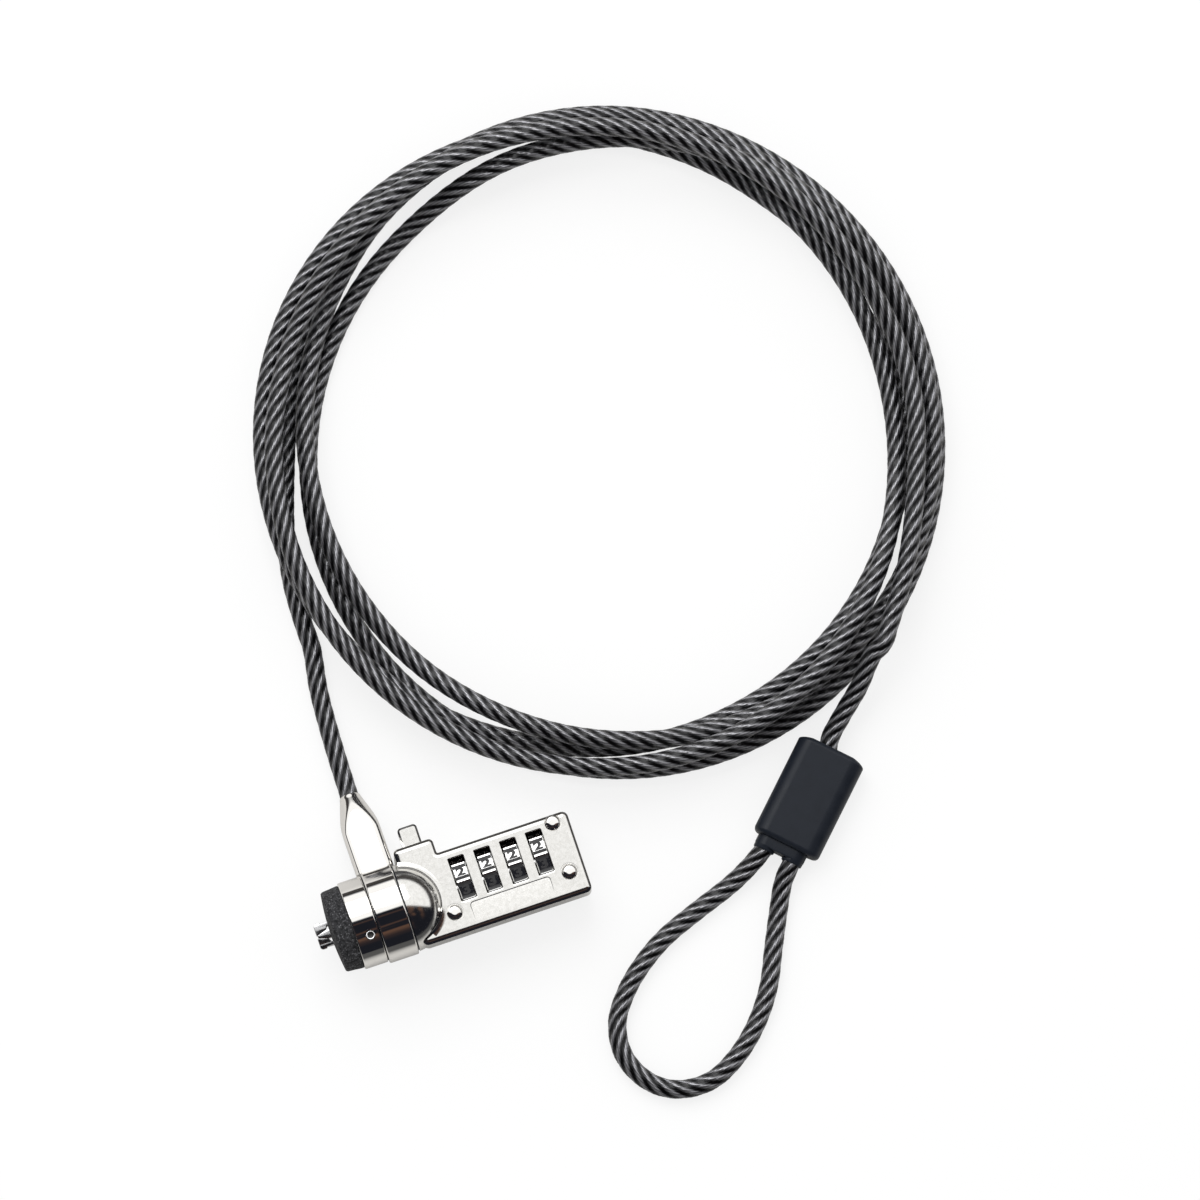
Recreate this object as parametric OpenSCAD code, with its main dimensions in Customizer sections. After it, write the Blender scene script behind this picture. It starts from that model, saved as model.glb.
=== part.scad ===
// Laptop cable lock: a four-wheel combination lock head on a swivelling,
// vinyl-covered steel cable that ends in a moulded eye. Millimetres, +Z up.
// The head lies on its flat back (z = 0) with its length along X; the spigot
// that enters a laptop's security slot points to -X, the cable leaves to +Y.

/* [Housing] */
// Thickness of the housing, back face to front face
housing_t = 15.5; // [15.4:0.1:17]
// Length of the housing beyond the wheel chamber
housing_end_l = 6.15; // [6:0.05:11]
// Lower edge of the housing (towards -Y)
housing_low = -9.4; // [-9.8:0.1:-9.2]
// Upper edge of the housing (towards +Y)
housing_high = 8.5; // [8.4:0.1:10]
// Height from which the lower side slopes in to the back
slope_z = 6.3; // [5.5:0.1:7]
// How far the lower side slopes in
back_slope = 1.2; // [0.9:0.1:1.4]
// Thickness of the front cover
cover_t = 1.3; // [1.1:0.1:1.4]
// Radius of the housing's corners in plan
corner_r = 1.3; // [0.6:0.1:1.8]
// Top of the shoulder that carries the release button
shoulder_high = 11.9; // [11.8:0.1:13]
// Width of that shoulder
shoulder_w = 8.7; // [8.2:0.1:9.6]
// Floor under the number wheels
floor_t = 1.2; // [0.8:0.1:1.4]
// Depth of the bare name panel
panel_depth = 0.15; // [0.1:0.05:0.3]

/* [Number wheels] */
// Distance between neighbouring wheels
wheel_pitch = 5.7; // [5.6:0.1:5.8]
// Radius of a wheel over its ridges
wheel_r = 7.0; // [6.6:0.05:7.05]
// Width of a wheel
wheel_w = 3.0; // [2.8:0.1:3.1]
// Width of a window in the cover
window_w = 3.5; // [3:0.1:3.8]
// Lower edge of the windows
window_low = -3.0; // [-3.1:0.1:-2.6]
// Upper edge of the windows
window_high = 6.45; // [6:0.05:6.7]
// Width of a clutch sleeve inside its wheel
sleeve_w = 2.6; // [2.2:0.1:2.7]
// Radius of the bore through a wheel
wheel_bore_r = 3.6; // [3.5:0.05:4]

/* [Barrel and swivel] */
// Radius of the barrel in front of the swivel
barrel_r = 9.45; // [9.2:0.05:9.6]
// Thickness of the swivel collar's wall
collar_wall = 1.9; // [1.8:0.05:2.4]
// Width of the swivel collar
collar_w = 6.5; // [6:0.1:6.5]
// Radius of the barrel's neck inside the collar
neck_r = 8.0; // [7:0.1:8.2]
// Width of the barrel's front section
front_w = 5.1; // [4.6:0.1:6.5]
// Thickness of the rubber pad on the front of the barrel
pad_t = 4.6; // [3.5:0.1:5]
// How far the spigot stands out of the pad
spigot_out = 2.9; // [2.6:0.1:3.2]
// How far the cable's ferrule droops from the level
ferrule_droop = 18; // [10:1:18]

/* [Release] */
// Travel of the release button
button_travel = 2.4; // [2:0.1:2.4]
// Width of the release button
button_w = 4.2; // [3.8:0.1:4.2]
// How far the release button stands out of the shoulder
button_out = 4.8; // [3:0.1:6]
// Angle through which each hook jaw closes
jaw_angle = 1.8; // [1:0.1:1.8]

/* [Ferrule] */
// Width of the ferrule
ferrule_w = 8.2; // [7.6:0.1:8.2]
// Thickness of the ferrule
ferrule_t = 6.8; // [6.6:0.1:7]
// Distance from the barrel's axis to the start of the ferrule's taper
taper_start = 19.2; // [18:0.1:20]
// Distance from the barrel's axis to the ferrule's tip
ferrule_tip = 28.4; // [28:0.1:28.6]

/* [Cable] */
// Diameter of the cable over its vinyl cover
cable_d = 4.0; // [3.6:0.1:4.1]
// Rise from one layer of the coil to the next
layer_rise = 4.5; // [4.5:0.1:5]
// Length of the eye's moulded sleeve
eye_sleeve_l = 23.2; // [22.8:0.1:24]
// Width of the eye's moulded sleeve
eye_sleeve_w = 15.0; // [14.8:0.1:15.5]
// Thickness of the eye's moulded sleeve
eye_sleeve_t = 7.5; // [7.2:0.1:7.7]

/* [Hidden] */
$fn = 64;

// clearances
run_gap = 0.06;      // a shaft that turns or slides in its bore
press_gap = 0.02;    // a pin that is pressed home
side_gap = 0.3;      // between faces that move past each other
seat_gap = 0.05;     // between fixed pieces that sit in each other
lap = 0.1;           // by which the runs of one rod or pin enter each other

// axes of the head: the barrel and, below it, the number wheels
barrel_z = 11.1;
wheel_y = 0.5;
wheel_z = 8.7;
wheel_count = 4;

// stations along X, from the housing to the tip of the spigot
housing_front = -21.6;
collar_x1 = housing_front - side_gap;
collar_x0 = collar_x1 - collar_w;
front_x1 = collar_x0 - 0.2;
front_x0 = front_x1 - front_w;
pad_x0 = front_x0 - pad_t;
spigot_x0 = pad_x0 - spigot_out;
collar_mid = (collar_x0 + collar_x1) / 2;
collar_r = neck_r + collar_wall;
first_wheel_from = 13.05;          // the first wheel's middle from the barrel's rear
first_wheel_x = housing_front + first_wheel_from;
last_wheel_x = first_wheel_x + (wheel_count - 1) * wheel_pitch;

// small slanted edge on the turned pieces of the barrel
turned_edge = 0.3;

// set pin in the barrel's front section
barrel_pin_r = 1.0;
barrel_pin_at = [front_x1 - 2.0, -4.0];
barrel_pin_z = [barrel_z + 3.8, barrel_z + barrel_r - 1.0];

// housing
face_z = housing_t;
seat_z = housing_t - cover_t;      // the housing's rim, under the cover
dome_x = housing_front - 0.7;      // centre of the rounded rear of the barrel
block_x0 = housing_front + 1.0;    // clear of the ferrule as it turns
shoulder_right = block_x0 + shoulder_w;
shoulder_r = 1.0;                  // of the shoulder's corners in plan
tenon_x1 = housing_front + 2.2;
tenon_r = 6.0;
works_y = [-2.0, 2.8];             // cavity for the draw plate
works_z = [5.0, 13.2];
works_x1 = shoulder_right;
wheel_side_gap = 0.2;
wheel_round_gap = 0.4;             // round a wheel, in the chamber
cover_gap = 0.15;                  // round a wheel, under the cover
chamber_x0 = first_wheel_x - wheel_w / 2 - wheel_side_gap;
chamber_x1 = last_wheel_x + wheel_w / 2 + 2 * wheel_side_gap;
chamber_y = [wheel_y - wheel_r - wheel_round_gap, wheel_y + wheel_r + wheel_round_gap];
housing_right = chamber_x1 + housing_end_l;
rivet_from_front = 9.3;
rivet_from_end = [3.55, 3.45];     // the upper and the lower one
rivet_from_high = 1.7;
rivet_at = [[housing_front + rivet_from_front, -4.6],
    [housing_right - rivet_from_end[0], housing_high - rivet_from_high],
    [housing_right - rivet_from_end[1], -4.1]];
rivet_r = 0.9;
rivet_head_r = 1.75;
rivet_head_h = 0.6;
rivet_end_z = 9.6;

// bare name panel, which runs out at the cover's lower edge
panel_x = [first_wheel_x - 0.15, last_wheel_x + 0.35];
panel_high = -3.65;
panel_corner_r = 0.8;

// number wheels
facets = 10;
ridge_angle = 7.5;                 // of the ridge nearest the top, towards +Y
sleeve_r = wheel_bore_r - seat_gap;
spindle_r = 1.9;
fin_r = 3.2;
fin_t = 0.5;
fin_w = 1.2;
spacer_t = 2.0;
detent_t = 0.3;

// draw plate, spindle and the blocking pin, at rest
plate_from_front = 7.0;
plate_x1 = housing_front + plate_from_front;
plate_t = 1.6;
plate_x0 = plate_x1 - plate_t;
plate_high = 0.6;
plate_top = 12.8;
foot_z = [5.5, 8.7];
foot_low = -1.6;
foot_high = 2.2;
rod_r = 1.2;
rod_tail_r = 0.9;
blade_half = 0.9;
wedge_l = 2.05;
tail_r = 1.1;                      // thin rear end of the spindle
shoulder_x = last_wheel_x + sleeve_w / 2 + side_gap;

// reset cam in the housing's right-hand end
cam_l = 2.6;                       // over its flange and head
cam_set = 0.1;                     // how far its head stands back in the housing
cam_x0 = housing_right - cam_set - cam_l;
spindle_end = cam_x0 - 1.0;
cam_x1 = housing_right - cam_set;
cam_r = 2.55;
cam_flange_r = 3.2;
cam_flange_t = 0.8;
slot_depth = 0.5;
slot_w = 0.8;

// spindle spring, between the spindle's shoulder and the cam
spring_turns = 4;
spring_wire = 0.3;
spring_r = 1.75;
spring_x0 = shoulder_x + spring_wire;
spring_x1 = cam_x0 - spring_wire;

// hook jaws; closed, their tips stand jaw_rest_gap from the middle
jaw_half_t = 1.35;
jaw_pivot = [front_x0 + 2.3, 2.25];
jaw_pin_r = 0.6;
jaw_pin_half = 3.5;
jaw_tail = 1.0;                    // behind the pivot
jaw_eye_high = 0.9;                // the eye's edges above and below the pivot
jaw_shank_high = 1.7;
jaw_lip = 2.75;
jaw_back = 2.5;
jaw_cavity_l = 4.4;
jaw_cavity_x1 = front_x0 + jaw_cavity_l;
jaw_cavity_half_y = 3.5;
jaw_cavity_half_z = 1.5;
jaw_rest_gap = 0.05;
blade_gap = 0.08;                  // between a jaw and the blade
jaw_tip_half = (jaw_pivot.x - spigot_x0) * sin(jaw_angle) + jaw_rest_gap;
blade_tip_half = jaw_tip_half - blade_gap;
blade_x1 = jaw_pivot.x - 0.5;
blade_set = 0.2;                   // how far the blade's tip stands back in the jaws

// rubber pad and the slot in it that the spigot stands in
pad_back_r = barrel_r - 0.4;
pad_front_r = barrel_r - 0.75;
pad_edge = 0.3;
pad_slot_half_y = jaw_lip + 0.5;
pad_slot_half_z = jaw_half_t + 0.35;

// release button
button_wall = 2.05;                // of the shoulder, on the button's right-hand side
button_x1 = shoulder_right - button_wall;
button_x0 = button_x1 - button_w;
button_z = [4.9, 8.9];
button_corner_r = 0.8;
guide_gap = 0.1;
guide_end = -3.9;                  // lower end of the button's guide, past its stroke
button_pin_r = 0.6;
button_pin_y = 8.2;
button_pin_z = [0.6, 12.0];

// ferrule
ferrule_from = collar_r - 1.1;     // inside the collar's rim, which cuts it to shape
ferrule_round = 1.3;               // of its long edges
ferrule_turn_r = 4.8;              // of the turned body that its flat sides are cut from
ferrule_lip = 0.6;
ferrule_lip_r = 2.35;
ferrule_tip_r = 2.2;
ferrule_tenon_r = 2.6;
ferrule_seat_gap = 0.03;
swage_r = 2.7;
swage_l = 6;
swage_from = collar_r + 1.1;
swage_to = swage_from + swage_l;
lead_past_swage = 5;               // straight run of the cable behind the swage

// the eye's sleeve lies on the table at 45 degrees
sleeve_at = [66.0, -4.3];
sleeve_turn = 45;
sleeve_z = eye_sleeve_t / 2 + 0.15;
sleeve_u0 = -11;                   // its lower end, where the mouth is
sleeve_u1 = sleeve_u0 + eye_sleeve_l;
sleeve_round = 2.6;                // of its long edges
sleeve_end_round = 1.4;
crimp_l = 8;
crimp_end = crimp_l / 2;
crimp_wall = 0.8;
leg_gap = 4.2;                     // between the two legs in the crimp
mouth_l = 2.2;                     // stands out of the sleeve round the loop's legs
mouth_wall = 0.4;
mouth_v = [-2.75, 3.7];            // the legs' places across the mouth
leg_u = -13.5;
tail_entry = [13, 1.5];
stub_end = [11, 4.95];             // where the cable ends in the sleeve

// cable
cable_r = cable_d / 2;
cable_z = cable_r;

// the coil, seen from above, runs clockwise; the angles here grow along it,
// and at each reversal point [angle, radius] it turns from in to out or back
coil_at = [48.4, 81.7];
coil_zero = 71.4;
coil_from = 240;
coil_to = 1920;
coil_step = 15;
coil_sides = 6;
coil_tube_r = 1.05 * cable_r;
reversals = [[225, 74.5], [272, 65.75], [370, 70.5], [490, 71.5], [660, 60.25],
    [815, 70.5], [955, 60.5], [1095, 69], [1190, 64], [1225, 64], [1365, 71],
    [1510, 62], [1615, 70], [1850, 65], [1890, 67], [1950, 77]];
// the layer that the strand lies in from one angle to the next
layers = [[225, 0], [675, 0], [705, 2], [765, 2], [795, 1], [870, 1], [900, 1.8],
    [915, 1.8], [945, 1], [1020, 1], [1035, 2], [1065, 2], [1095, 1], [1125, 1],
    [1155, 0], [1245, 0], [1275, 1], [1425, 1], [1455, 0], [1470, 0], [1485, 1],
    [1530, 1], [1560, 2], [1725, 2], [1755, 3], [1845, 3], [1875, 2], [1950, 2]];

function ease(t) = (1 - cos(180 * t)) / 2;
function value_at(list, a, i = 0) =
    a <= list[i + 1][0] || i == len(list) - 2
        ? list[i][1] + (list[i + 1][1] - list[i][1])
            * ease((a - list[i][0]) / (list[i + 1][0] - list[i][0]))
        : value_at(list, a, i + 1);
function coil_point(a) =
    let (r = value_at(reversals, a))
    [coil_at.x + r * cos(coil_zero - a), coil_at.y + r * sin(coil_zero - a),
        cable_z + layer_rise * value_at(layers, a)];
function unit(v) = v / norm(v);
coil_start_dir = unit(coil_point(coil_from + 1) - coil_point(coil_from));
coil_end_dir = unit(coil_point(coil_to) - coil_point(coil_to - 1));
coil_start = coil_point(coil_from) - cable_d * coil_start_dir;
coil_end = coil_point(coil_to) + cable_d * coil_end_dir;
coil_points = concat([coil_start],
    [for (a = [coil_from : coil_step : coil_to]) coil_point(a)],
    [coil_end]);

// routes of the free stretches
function droop(d) = [collar_mid, d * cos(ferrule_droop), barrel_z - d * sin(ferrule_droop)];
lead_route = [droop(swage_to), droop(swage_to + lead_past_swage), droop(ferrule_tip), [-25.1, 29, 2.1],
    [-25, 35, 2], [-24.7, 43, 2], [-24.1, 51, 2],
    coil_start - cable_d * coil_start_dir, coil_start];
tail_route = [coil_end, coil_end + cable_d * coil_end_dir, [88.3, 19.7, 9.7],
    [83.5, 14.5, 7.2], [78.2, 10, 5], sleeve_point(tail_entry.x, tail_entry.y),
    sleeve_point(crimp_end, -leg_gap / 2), sleeve_point(0, -leg_gap / 2)];
eye_route = [sleeve_point(0, -leg_gap / 2), sleeve_point(-crimp_end, -leg_gap / 2),
    sleeve_point(leg_u, mouth_v[0]), [55.5, -19, 2.8], [52.7, -24.2, 2], [49.2, -31.3, 2],
    [45.4, -39.1, 2], [40.3, -45.8, 2], [34.1, -51, 2], [27.5, -53.9, 2],
    [20.3, -53.3, 2], [15, -49.5, 2], [12.1, -43, 2], [13, -36, 2],
    [16.9, -30.4, 2], [21.9, -26, 2], [28.1, -22.2, 2], [36, -19.1, 2],
    [44.5, -16.1, 2], [49.5, -13.8, 2.8], sleeve_point(leg_u, mouth_v[1]),
    sleeve_point(-crimp_end, leg_gap / 2), sleeve_point(crimp_end, leg_gap / 2),
    sleeve_point(stub_end.x, stub_end.y)];

// a place in the sleeve: u along it towards the coil, v across it
function sleeve_point(u, v) =
    [sleeve_at.x + u * cos(sleeve_turn) - v * sin(sleeve_turn),
        sleeve_at.y + u * sin(sleeve_turn) + v * cos(sleeve_turn), sleeve_z];

// least distance between strands more than half a turn apart, over points
// along the chords between the rings
chord_parts = 4;
chords = [for (i = [1 : len(coil_points) - 3], k = [0 : chord_parts - 1])
    coil_points[i] + (coil_points[i + 1] - coil_points[i]) * k / chord_parts];
half_turn = chord_parts * 180 / coil_step;
least_strand_distance = min([for (i = [0 : len(chords) - half_turn - 1],
    j = [i + half_turn : len(chords) - 1]) norm(chords[i] - chords[j])]);
coil_gap = least_strand_distance - cable_d;
echo(coil_gap_mm = coil_gap);

// ---- shared shapes ----

// a tube along points, its rings square to the route
function turn_at(p, i) =
    i == 0 ? unit(p[1] - p[0])
        : i == len(p) - 1 ? unit(p[i] - p[i - 1])
        : unit(unit(p[i + 1] - p[i]) + unit(p[i] - p[i - 1]));
function ring(p, i, r, sides, phase) =
    let (d = turn_at(p, i), side = unit(cross([0, 0, 1], d)), up = cross(d, side))
    [for (k = [0 : sides - 1])
        p[i] + r * (cos(360 * k / sides + phase) * side
            + sin(360 * k / sides + phase) * up)];
module tube(p, r, sides, phase = 0) {
    n = len(p);
    rings = [for (i = [0 : n - 1]) each ring(p, i, r, sides, phase)];
    walls = [for (i = [0 : n - 2], k = [0 : sides - 1])
        let (a = i * sides + k, b = i * sides + (k + 1) % sides)
        each [[a, b, b + sides], [a, b + sides, a + sides]]];
    first = [for (k = [1 : sides - 2]) [0, k + 1, k]];
    last = [for (k = [1 : sides - 2])
        [(n - 1) * sides, (n - 1) * sides + k, (n - 1) * sides + k + 1]];
    polyhedron(rings, [for (f = concat(walls, first, last)) [f[0], f[2], f[1]]]);
}

// a run of straight bores for a leg of the cable, each a little past its bends
module bent_bore(p, r) {
    past = 1;
    for (i = [0 : len(p) - 2])
        let (d = p[i + 1] - p[i])
        translate(p[i] - past * unit(d))
            rotate([0, acos(d.z / norm(d)), atan2(d.y, d.x)])
                cylinder(h = norm(d) + 2 * past, r = r);
}

// a cylinder along X from x0 to x1 about y, z
module rod_x(x0, x1, r, y = 0, z = barrel_z) {
    translate([x0, y, z])
        rotate([0, 90, 0])
            cylinder(h = x1 - x0, r = r);
}

// a ring turned about the barrel's axis from points [x, radius]
module turned_x(points) {
    translate([0, 0, barrel_z])
        rotate([0, 90, 0])
            rotate_extrude($fn = 96)
                polygon([for (p = points) [p[1], p[0]]]);
}

module box(x, y, z) {
    translate([x[0], y[0], z[0]])
        cube([x[1] - x[0], y[1] - y[0], z[1] - z[0]]);
}

// a box with round corners in plan
module rounded_box(x, y, z, r) {
    box([x[0] + r, x[1] - r], y, z);
    box(x, [y[0] + r, y[1] - r], z);
    for (cx = [x[0] + r, x[1] - r], cy = [y[0] + r, y[1] - r])
        translate([cx, cy, z[0]])
            cylinder(h = z[1] - z[0], r = r);
}

// places the children on each number wheel's centre
module at_wheels() {
    for (i = [0 : wheel_count - 1])
        translate([first_wheel_x + i * wheel_pitch, 0, 0])
            children();
}

// ---- cable assembly ----

module swivel_collar() {
    color("silver")
        difference() {
            turned_x([[collar_x0, neck_r + run_gap], [collar_x0, collar_r - turned_edge],
                [collar_x0 + turned_edge, collar_r], [collar_x1 - turned_edge, collar_r],
                [collar_x1, collar_r - turned_edge], [collar_x1, neck_r + run_gap]]);
            ferrule_axis()
                cylinder(h = 2 * collar_r, r = ferrule_tenon_r + seat_gap);
        }
}

// the ferrule's own axis: z = 0 on the barrel's axis, z grows outwards
module ferrule_axis() {
    translate([collar_mid, 0, barrel_z])
        rotate([-90 - ferrule_droop, 0, 0])
            children();
}

module cable_ferrule() {
    half_w = ferrule_w / 2;
    half_t = ferrule_t / 2;
    color("silver")
        difference() {
            ferrule_axis()
                intersection() {
                    rotate_extrude()
                        polygon([[0, ferrule_from], [ferrule_turn_r, ferrule_from],
                            [ferrule_turn_r, taper_start],
                            [ferrule_lip_r, ferrule_tip - ferrule_lip],
                            [ferrule_tip_r, ferrule_tip], [0, ferrule_tip]]);
                    rounded_box([-half_w, half_w], [-half_t, half_t],
                        [ferrule_from - 1, ferrule_tip + 1], ferrule_round);
                }
            ferrule_axis() {
                cylinder(h = swage_to, r = swage_r + seat_gap);
                cylinder(h = ferrule_tip + 1, r = cable_r + seat_gap);
            }
            rod_x(collar_x0 - collar_w, collar_x1 + collar_w, collar_r + ferrule_seat_gap);
        }
}

module cable_swage() {
    color("gray")
        ferrule_axis() {
            translate([0, 0, swage_from])
                cylinder(h = swage_to - swage_from, r = swage_r);
            translate([0, 0, neck_r + side_gap])
                cylinder(h = swage_from - neck_r - side_gap + lap, r = ferrule_tenon_r);
        }
}

module cable_lead() {
    color("dimgray")
        tube(lead_route, cable_r, 8, 22.5);
}

module cable_coil() {
    color("dimgray")
        tube(coil_points, coil_tube_r, coil_sides, 0);
}

module cable_tail() {
    color("dimgray")
        tube(tail_route, cable_r, 8, 22.5);
}

module cable_eye() {
    color("dimgray")
        tube(eye_route, cable_r, 8, 22.5);
}

module in_sleeve() {
    translate([sleeve_at.x, sleeve_at.y, sleeve_z])
        rotate([0, 0, sleeve_turn])
            children();
}

// the oval crimp's outline, grown by g
module crimp_shape(g) {
    half = crimp_end + g;
    r = cable_r + crimp_wall + g;
    for (v = [-leg_gap / 2, leg_gap / 2])
        translate([-half, v, 0])
            rotate([0, 90, 0])
                cylinder(h = 2 * half, r = r);
    box([-half, half], [-leg_gap / 2, leg_gap / 2], [-r, r]);
}

module leg_bores() {
    bent_bore([sleeve_point(tail_entry.x, tail_entry.y), sleeve_point(crimp_end, -leg_gap / 2),
        sleeve_point(-crimp_end, -leg_gap / 2), sleeve_point(leg_u, mouth_v[0])],
        cable_r + seat_gap);
    bent_bore([sleeve_point(leg_u, mouth_v[1]), sleeve_point(-crimp_end, leg_gap / 2),
        sleeve_point(crimp_end, leg_gap / 2), sleeve_point(stub_end.x, stub_end.y)],
        cable_r + seat_gap);
}

// a bar along the sleeve with round long edges, from u0 to u1
module sleeve_bar(u0, u1, half_w, half_t, r) {
    hull()
        for (v = [r - half_w, half_w - r], w = [r - half_t, half_t - r])
            translate([u0, v, w])
                rotate([0, 90, 0])
                    cylinder(h = u1 - u0, r = r, $fn = 32);
}

module eye_sleeve() {
    half_w = eye_sleeve_w / 2;
    half_t = eye_sleeve_t / 2;
    color("darkslategray")
        difference() {
            in_sleeve() {
                hull() {
                    sleeve_bar(sleeve_u0 + sleeve_end_round, sleeve_u1 - sleeve_end_round,
                        half_w, half_t, sleeve_round);
                    sleeve_bar(sleeve_u0, sleeve_u1, half_w - sleeve_end_round,
                        half_t - sleeve_end_round, sleeve_round - sleeve_end_round);
                }
                // the mouth
                hull()
                    for (v = mouth_v)
                        translate([sleeve_u0 - mouth_l, v, 0])
                            rotate([0, 90, 0])
                                cylinder(h = mouth_l + 1, r = cable_r + mouth_wall);
            }
            leg_bores();
            in_sleeve()
                crimp_shape(seat_gap);
        }
}

module eye_crimp() {
    color("silver")
        in_sleeve()
            difference() {
                crimp_shape(0);
                for (v = [-leg_gap / 2, leg_gap / 2])
                    translate([-crimp_l, v, 0])
                        rotate([0, 90, 0])
                            cylinder(h = 2 * crimp_l, r = cable_r + seat_gap);
            }
}

// ---- lock head ----

module front_barrel() {
    color("silver")
        difference() {
            turned_x([[front_x0, 0], [front_x0, barrel_r - turned_edge],
                [front_x0 + turned_edge, barrel_r], [front_x1 - turned_edge, barrel_r],
                [front_x1, barrel_r - turned_edge], [front_x1, neck_r], [housing_front, neck_r],
                [housing_front, tenon_r], [tenon_x1, tenon_r], [tenon_x1, 0]]);
            rod_x(jaw_cavity_x1 - 1, tenon_x1 + 1, rod_r + run_gap);
            box([front_x0 - 1, jaw_cavity_x1], [-jaw_cavity_half_y, jaw_cavity_half_y],
                [barrel_z - jaw_cavity_half_z, barrel_z + jaw_cavity_half_z]);
            jaw_pin_shapes(jaw_pin_r + press_gap);
            barrel_pin_shape(barrel_pin_r + press_gap);
        }
}

module face_pad() {
    color("dimgray")
        difference() {
            turned_x([[pad_x0, 0], [pad_x0, pad_front_r - pad_edge],
                [pad_x0 + pad_edge, pad_front_r], [front_x0, pad_back_r], [front_x0, 0]]);
            box([pad_x0 - 1, front_x0 + 1], [-pad_slot_half_y, pad_slot_half_y],
                [barrel_z - pad_slot_half_z, barrel_z + pad_slot_half_z]);
        }
}

module barrel_pin_shape(r) {
    translate([barrel_pin_at.x, barrel_pin_at.y, barrel_pin_z[0]])
        cylinder(h = barrel_pin_z[1] - barrel_pin_z[0], r = r);
}
module barrel_pin() {
    color("gainsboro")
        barrel_pin_shape(barrel_pin_r);
}

module jaw_pin_shapes(r) {
    for (side = [-1, 1])
        translate([jaw_pivot.x, side * jaw_pivot.y, barrel_z - jaw_pin_half])
            cylinder(h = 2 * jaw_pin_half, r = r);
}
module jaw_pins() {
    color("gray")
        jaw_pin_shapes(jaw_pin_r);
}

// the box that holds the number wheels, with the shoulder round the release button
module housing_outline(z) {
    rounded_box([block_x0, housing_right], [housing_low, housing_high], z, corner_r);
    rounded_box([block_x0, shoulder_right], [housing_low, shoulder_high], z, shoulder_r);
}

// what is cut from the lower side where it slopes in to the back
module lower_slope() {
    translate([block_x0 - 1, 0, 0])
        rotate([90, 0, 90])
            linear_extrude(housing_right - block_x0 + 2)
                polygon([[housing_low, slope_z], [housing_low + back_slope, 0],
                    [housing_low + back_slope, -1], [housing_low - 1, -1],
                    [housing_low - 1, slope_z]]);
}

module housing_body() {
    color("gainsboro")
        difference() {
            union() {
                housing_outline([0, seat_z]);
                // the round rear of the barrel
                translate([dome_x, 0, barrel_z])
                    sphere(r = barrel_r, $fn = 96);
            }
            lower_slope();
            // nothing in front of the collar's rear face, and room for the ferrule's turn
            rod_x(dome_x - barrel_r, housing_front, barrel_r + 1);
            rod_x(housing_front - 1, tenon_x1, tenon_r + seat_gap);
            box([tenon_x1 - 0.1, works_x1], works_y, works_z);
            rod_x(works_x1 - 1, chamber_x0 + 1, fin_r + side_gap, wheel_y, wheel_z);
            // the wheel chamber
            box([chamber_x0, chamber_x1], chamber_y, [floor_t, seat_z + 1]);
            // the rear bore: spring and flange of the reset cam, then its head
            rod_x(chamber_x1 - 1, cam_x0 + cam_flange_t + seat_gap, cam_flange_r + seat_gap,
                wheel_y, wheel_z);
            rod_x(cam_x0, housing_right + 1, cam_r + run_gap, wheel_y, wheel_z);
            // the button's guide and its pin
            box([button_x0 - guide_gap, button_x1 + guide_gap], [guide_end, shoulder_high + 1],
                [button_z[0] - guide_gap, button_z[1] + guide_gap]);
            button_pin_shape(button_pin_r + press_gap);
            rivet_shanks(rivet_r + press_gap);
        }
}

module front_cover() {
    color("gainsboro")
        difference() {
            housing_outline([seat_z, face_z]);
            translate([dome_x, 0, barrel_z])
                sphere(r = barrel_r + seat_gap, $fn = 96);
            at_wheels() {
                box([-window_w / 2, window_w / 2], [window_low, window_high],
                    [seat_z - 1, face_z + 1]);
                rod_x(-wheel_w / 2 - wheel_side_gap, wheel_w / 2 + wheel_side_gap,
                    wheel_r + cover_gap, wheel_y, wheel_z);
            }
            rounded_box(panel_x, [housing_low - 2, panel_high],
                [face_z - panel_depth, face_z + 1], panel_corner_r);
            rivet_shanks(rivet_r + press_gap);
        }
}

module rivet_shanks(r) {
    for (p = rivet_at)
        translate([p.x, p.y, rivet_end_z])
            cylinder(h = face_z - rivet_end_z + 1, r = r);
}
module cover_rivets() {
    ball_r = (rivet_head_r * rivet_head_r + rivet_head_h * rivet_head_h) / (2 * rivet_head_h);
    color("silver")
        for (p = rivet_at)
            translate([p.x, p.y, 0]) {
                translate([0, 0, rivet_end_z])
                    cylinder(h = face_z - rivet_end_z, r = rivet_r);
                intersection() {
                    translate([0, 0, face_z + rivet_head_h - ball_r])
                        sphere(r = ball_r);
                    translate([0, 0, face_z])
                        cylinder(h = 1, r = rivet_head_r + 0.1);
                }
            }
}

module wheel_spacers() {
    color("darkgray")
        for (i = [0 : wheel_count - 2])
            translate([first_wheel_x + (i + 0.5) * wheel_pitch, 0, 0])
                difference() {
                    box([-spacer_t / 2, spacer_t / 2],
                        [chamber_y[0] + seat_gap, chamber_y[1] - seat_gap], [floor_t, seat_z]);
                    rod_x(-spacer_t, spacer_t, fin_r + side_gap, wheel_y, wheel_z);
                }
}

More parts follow.
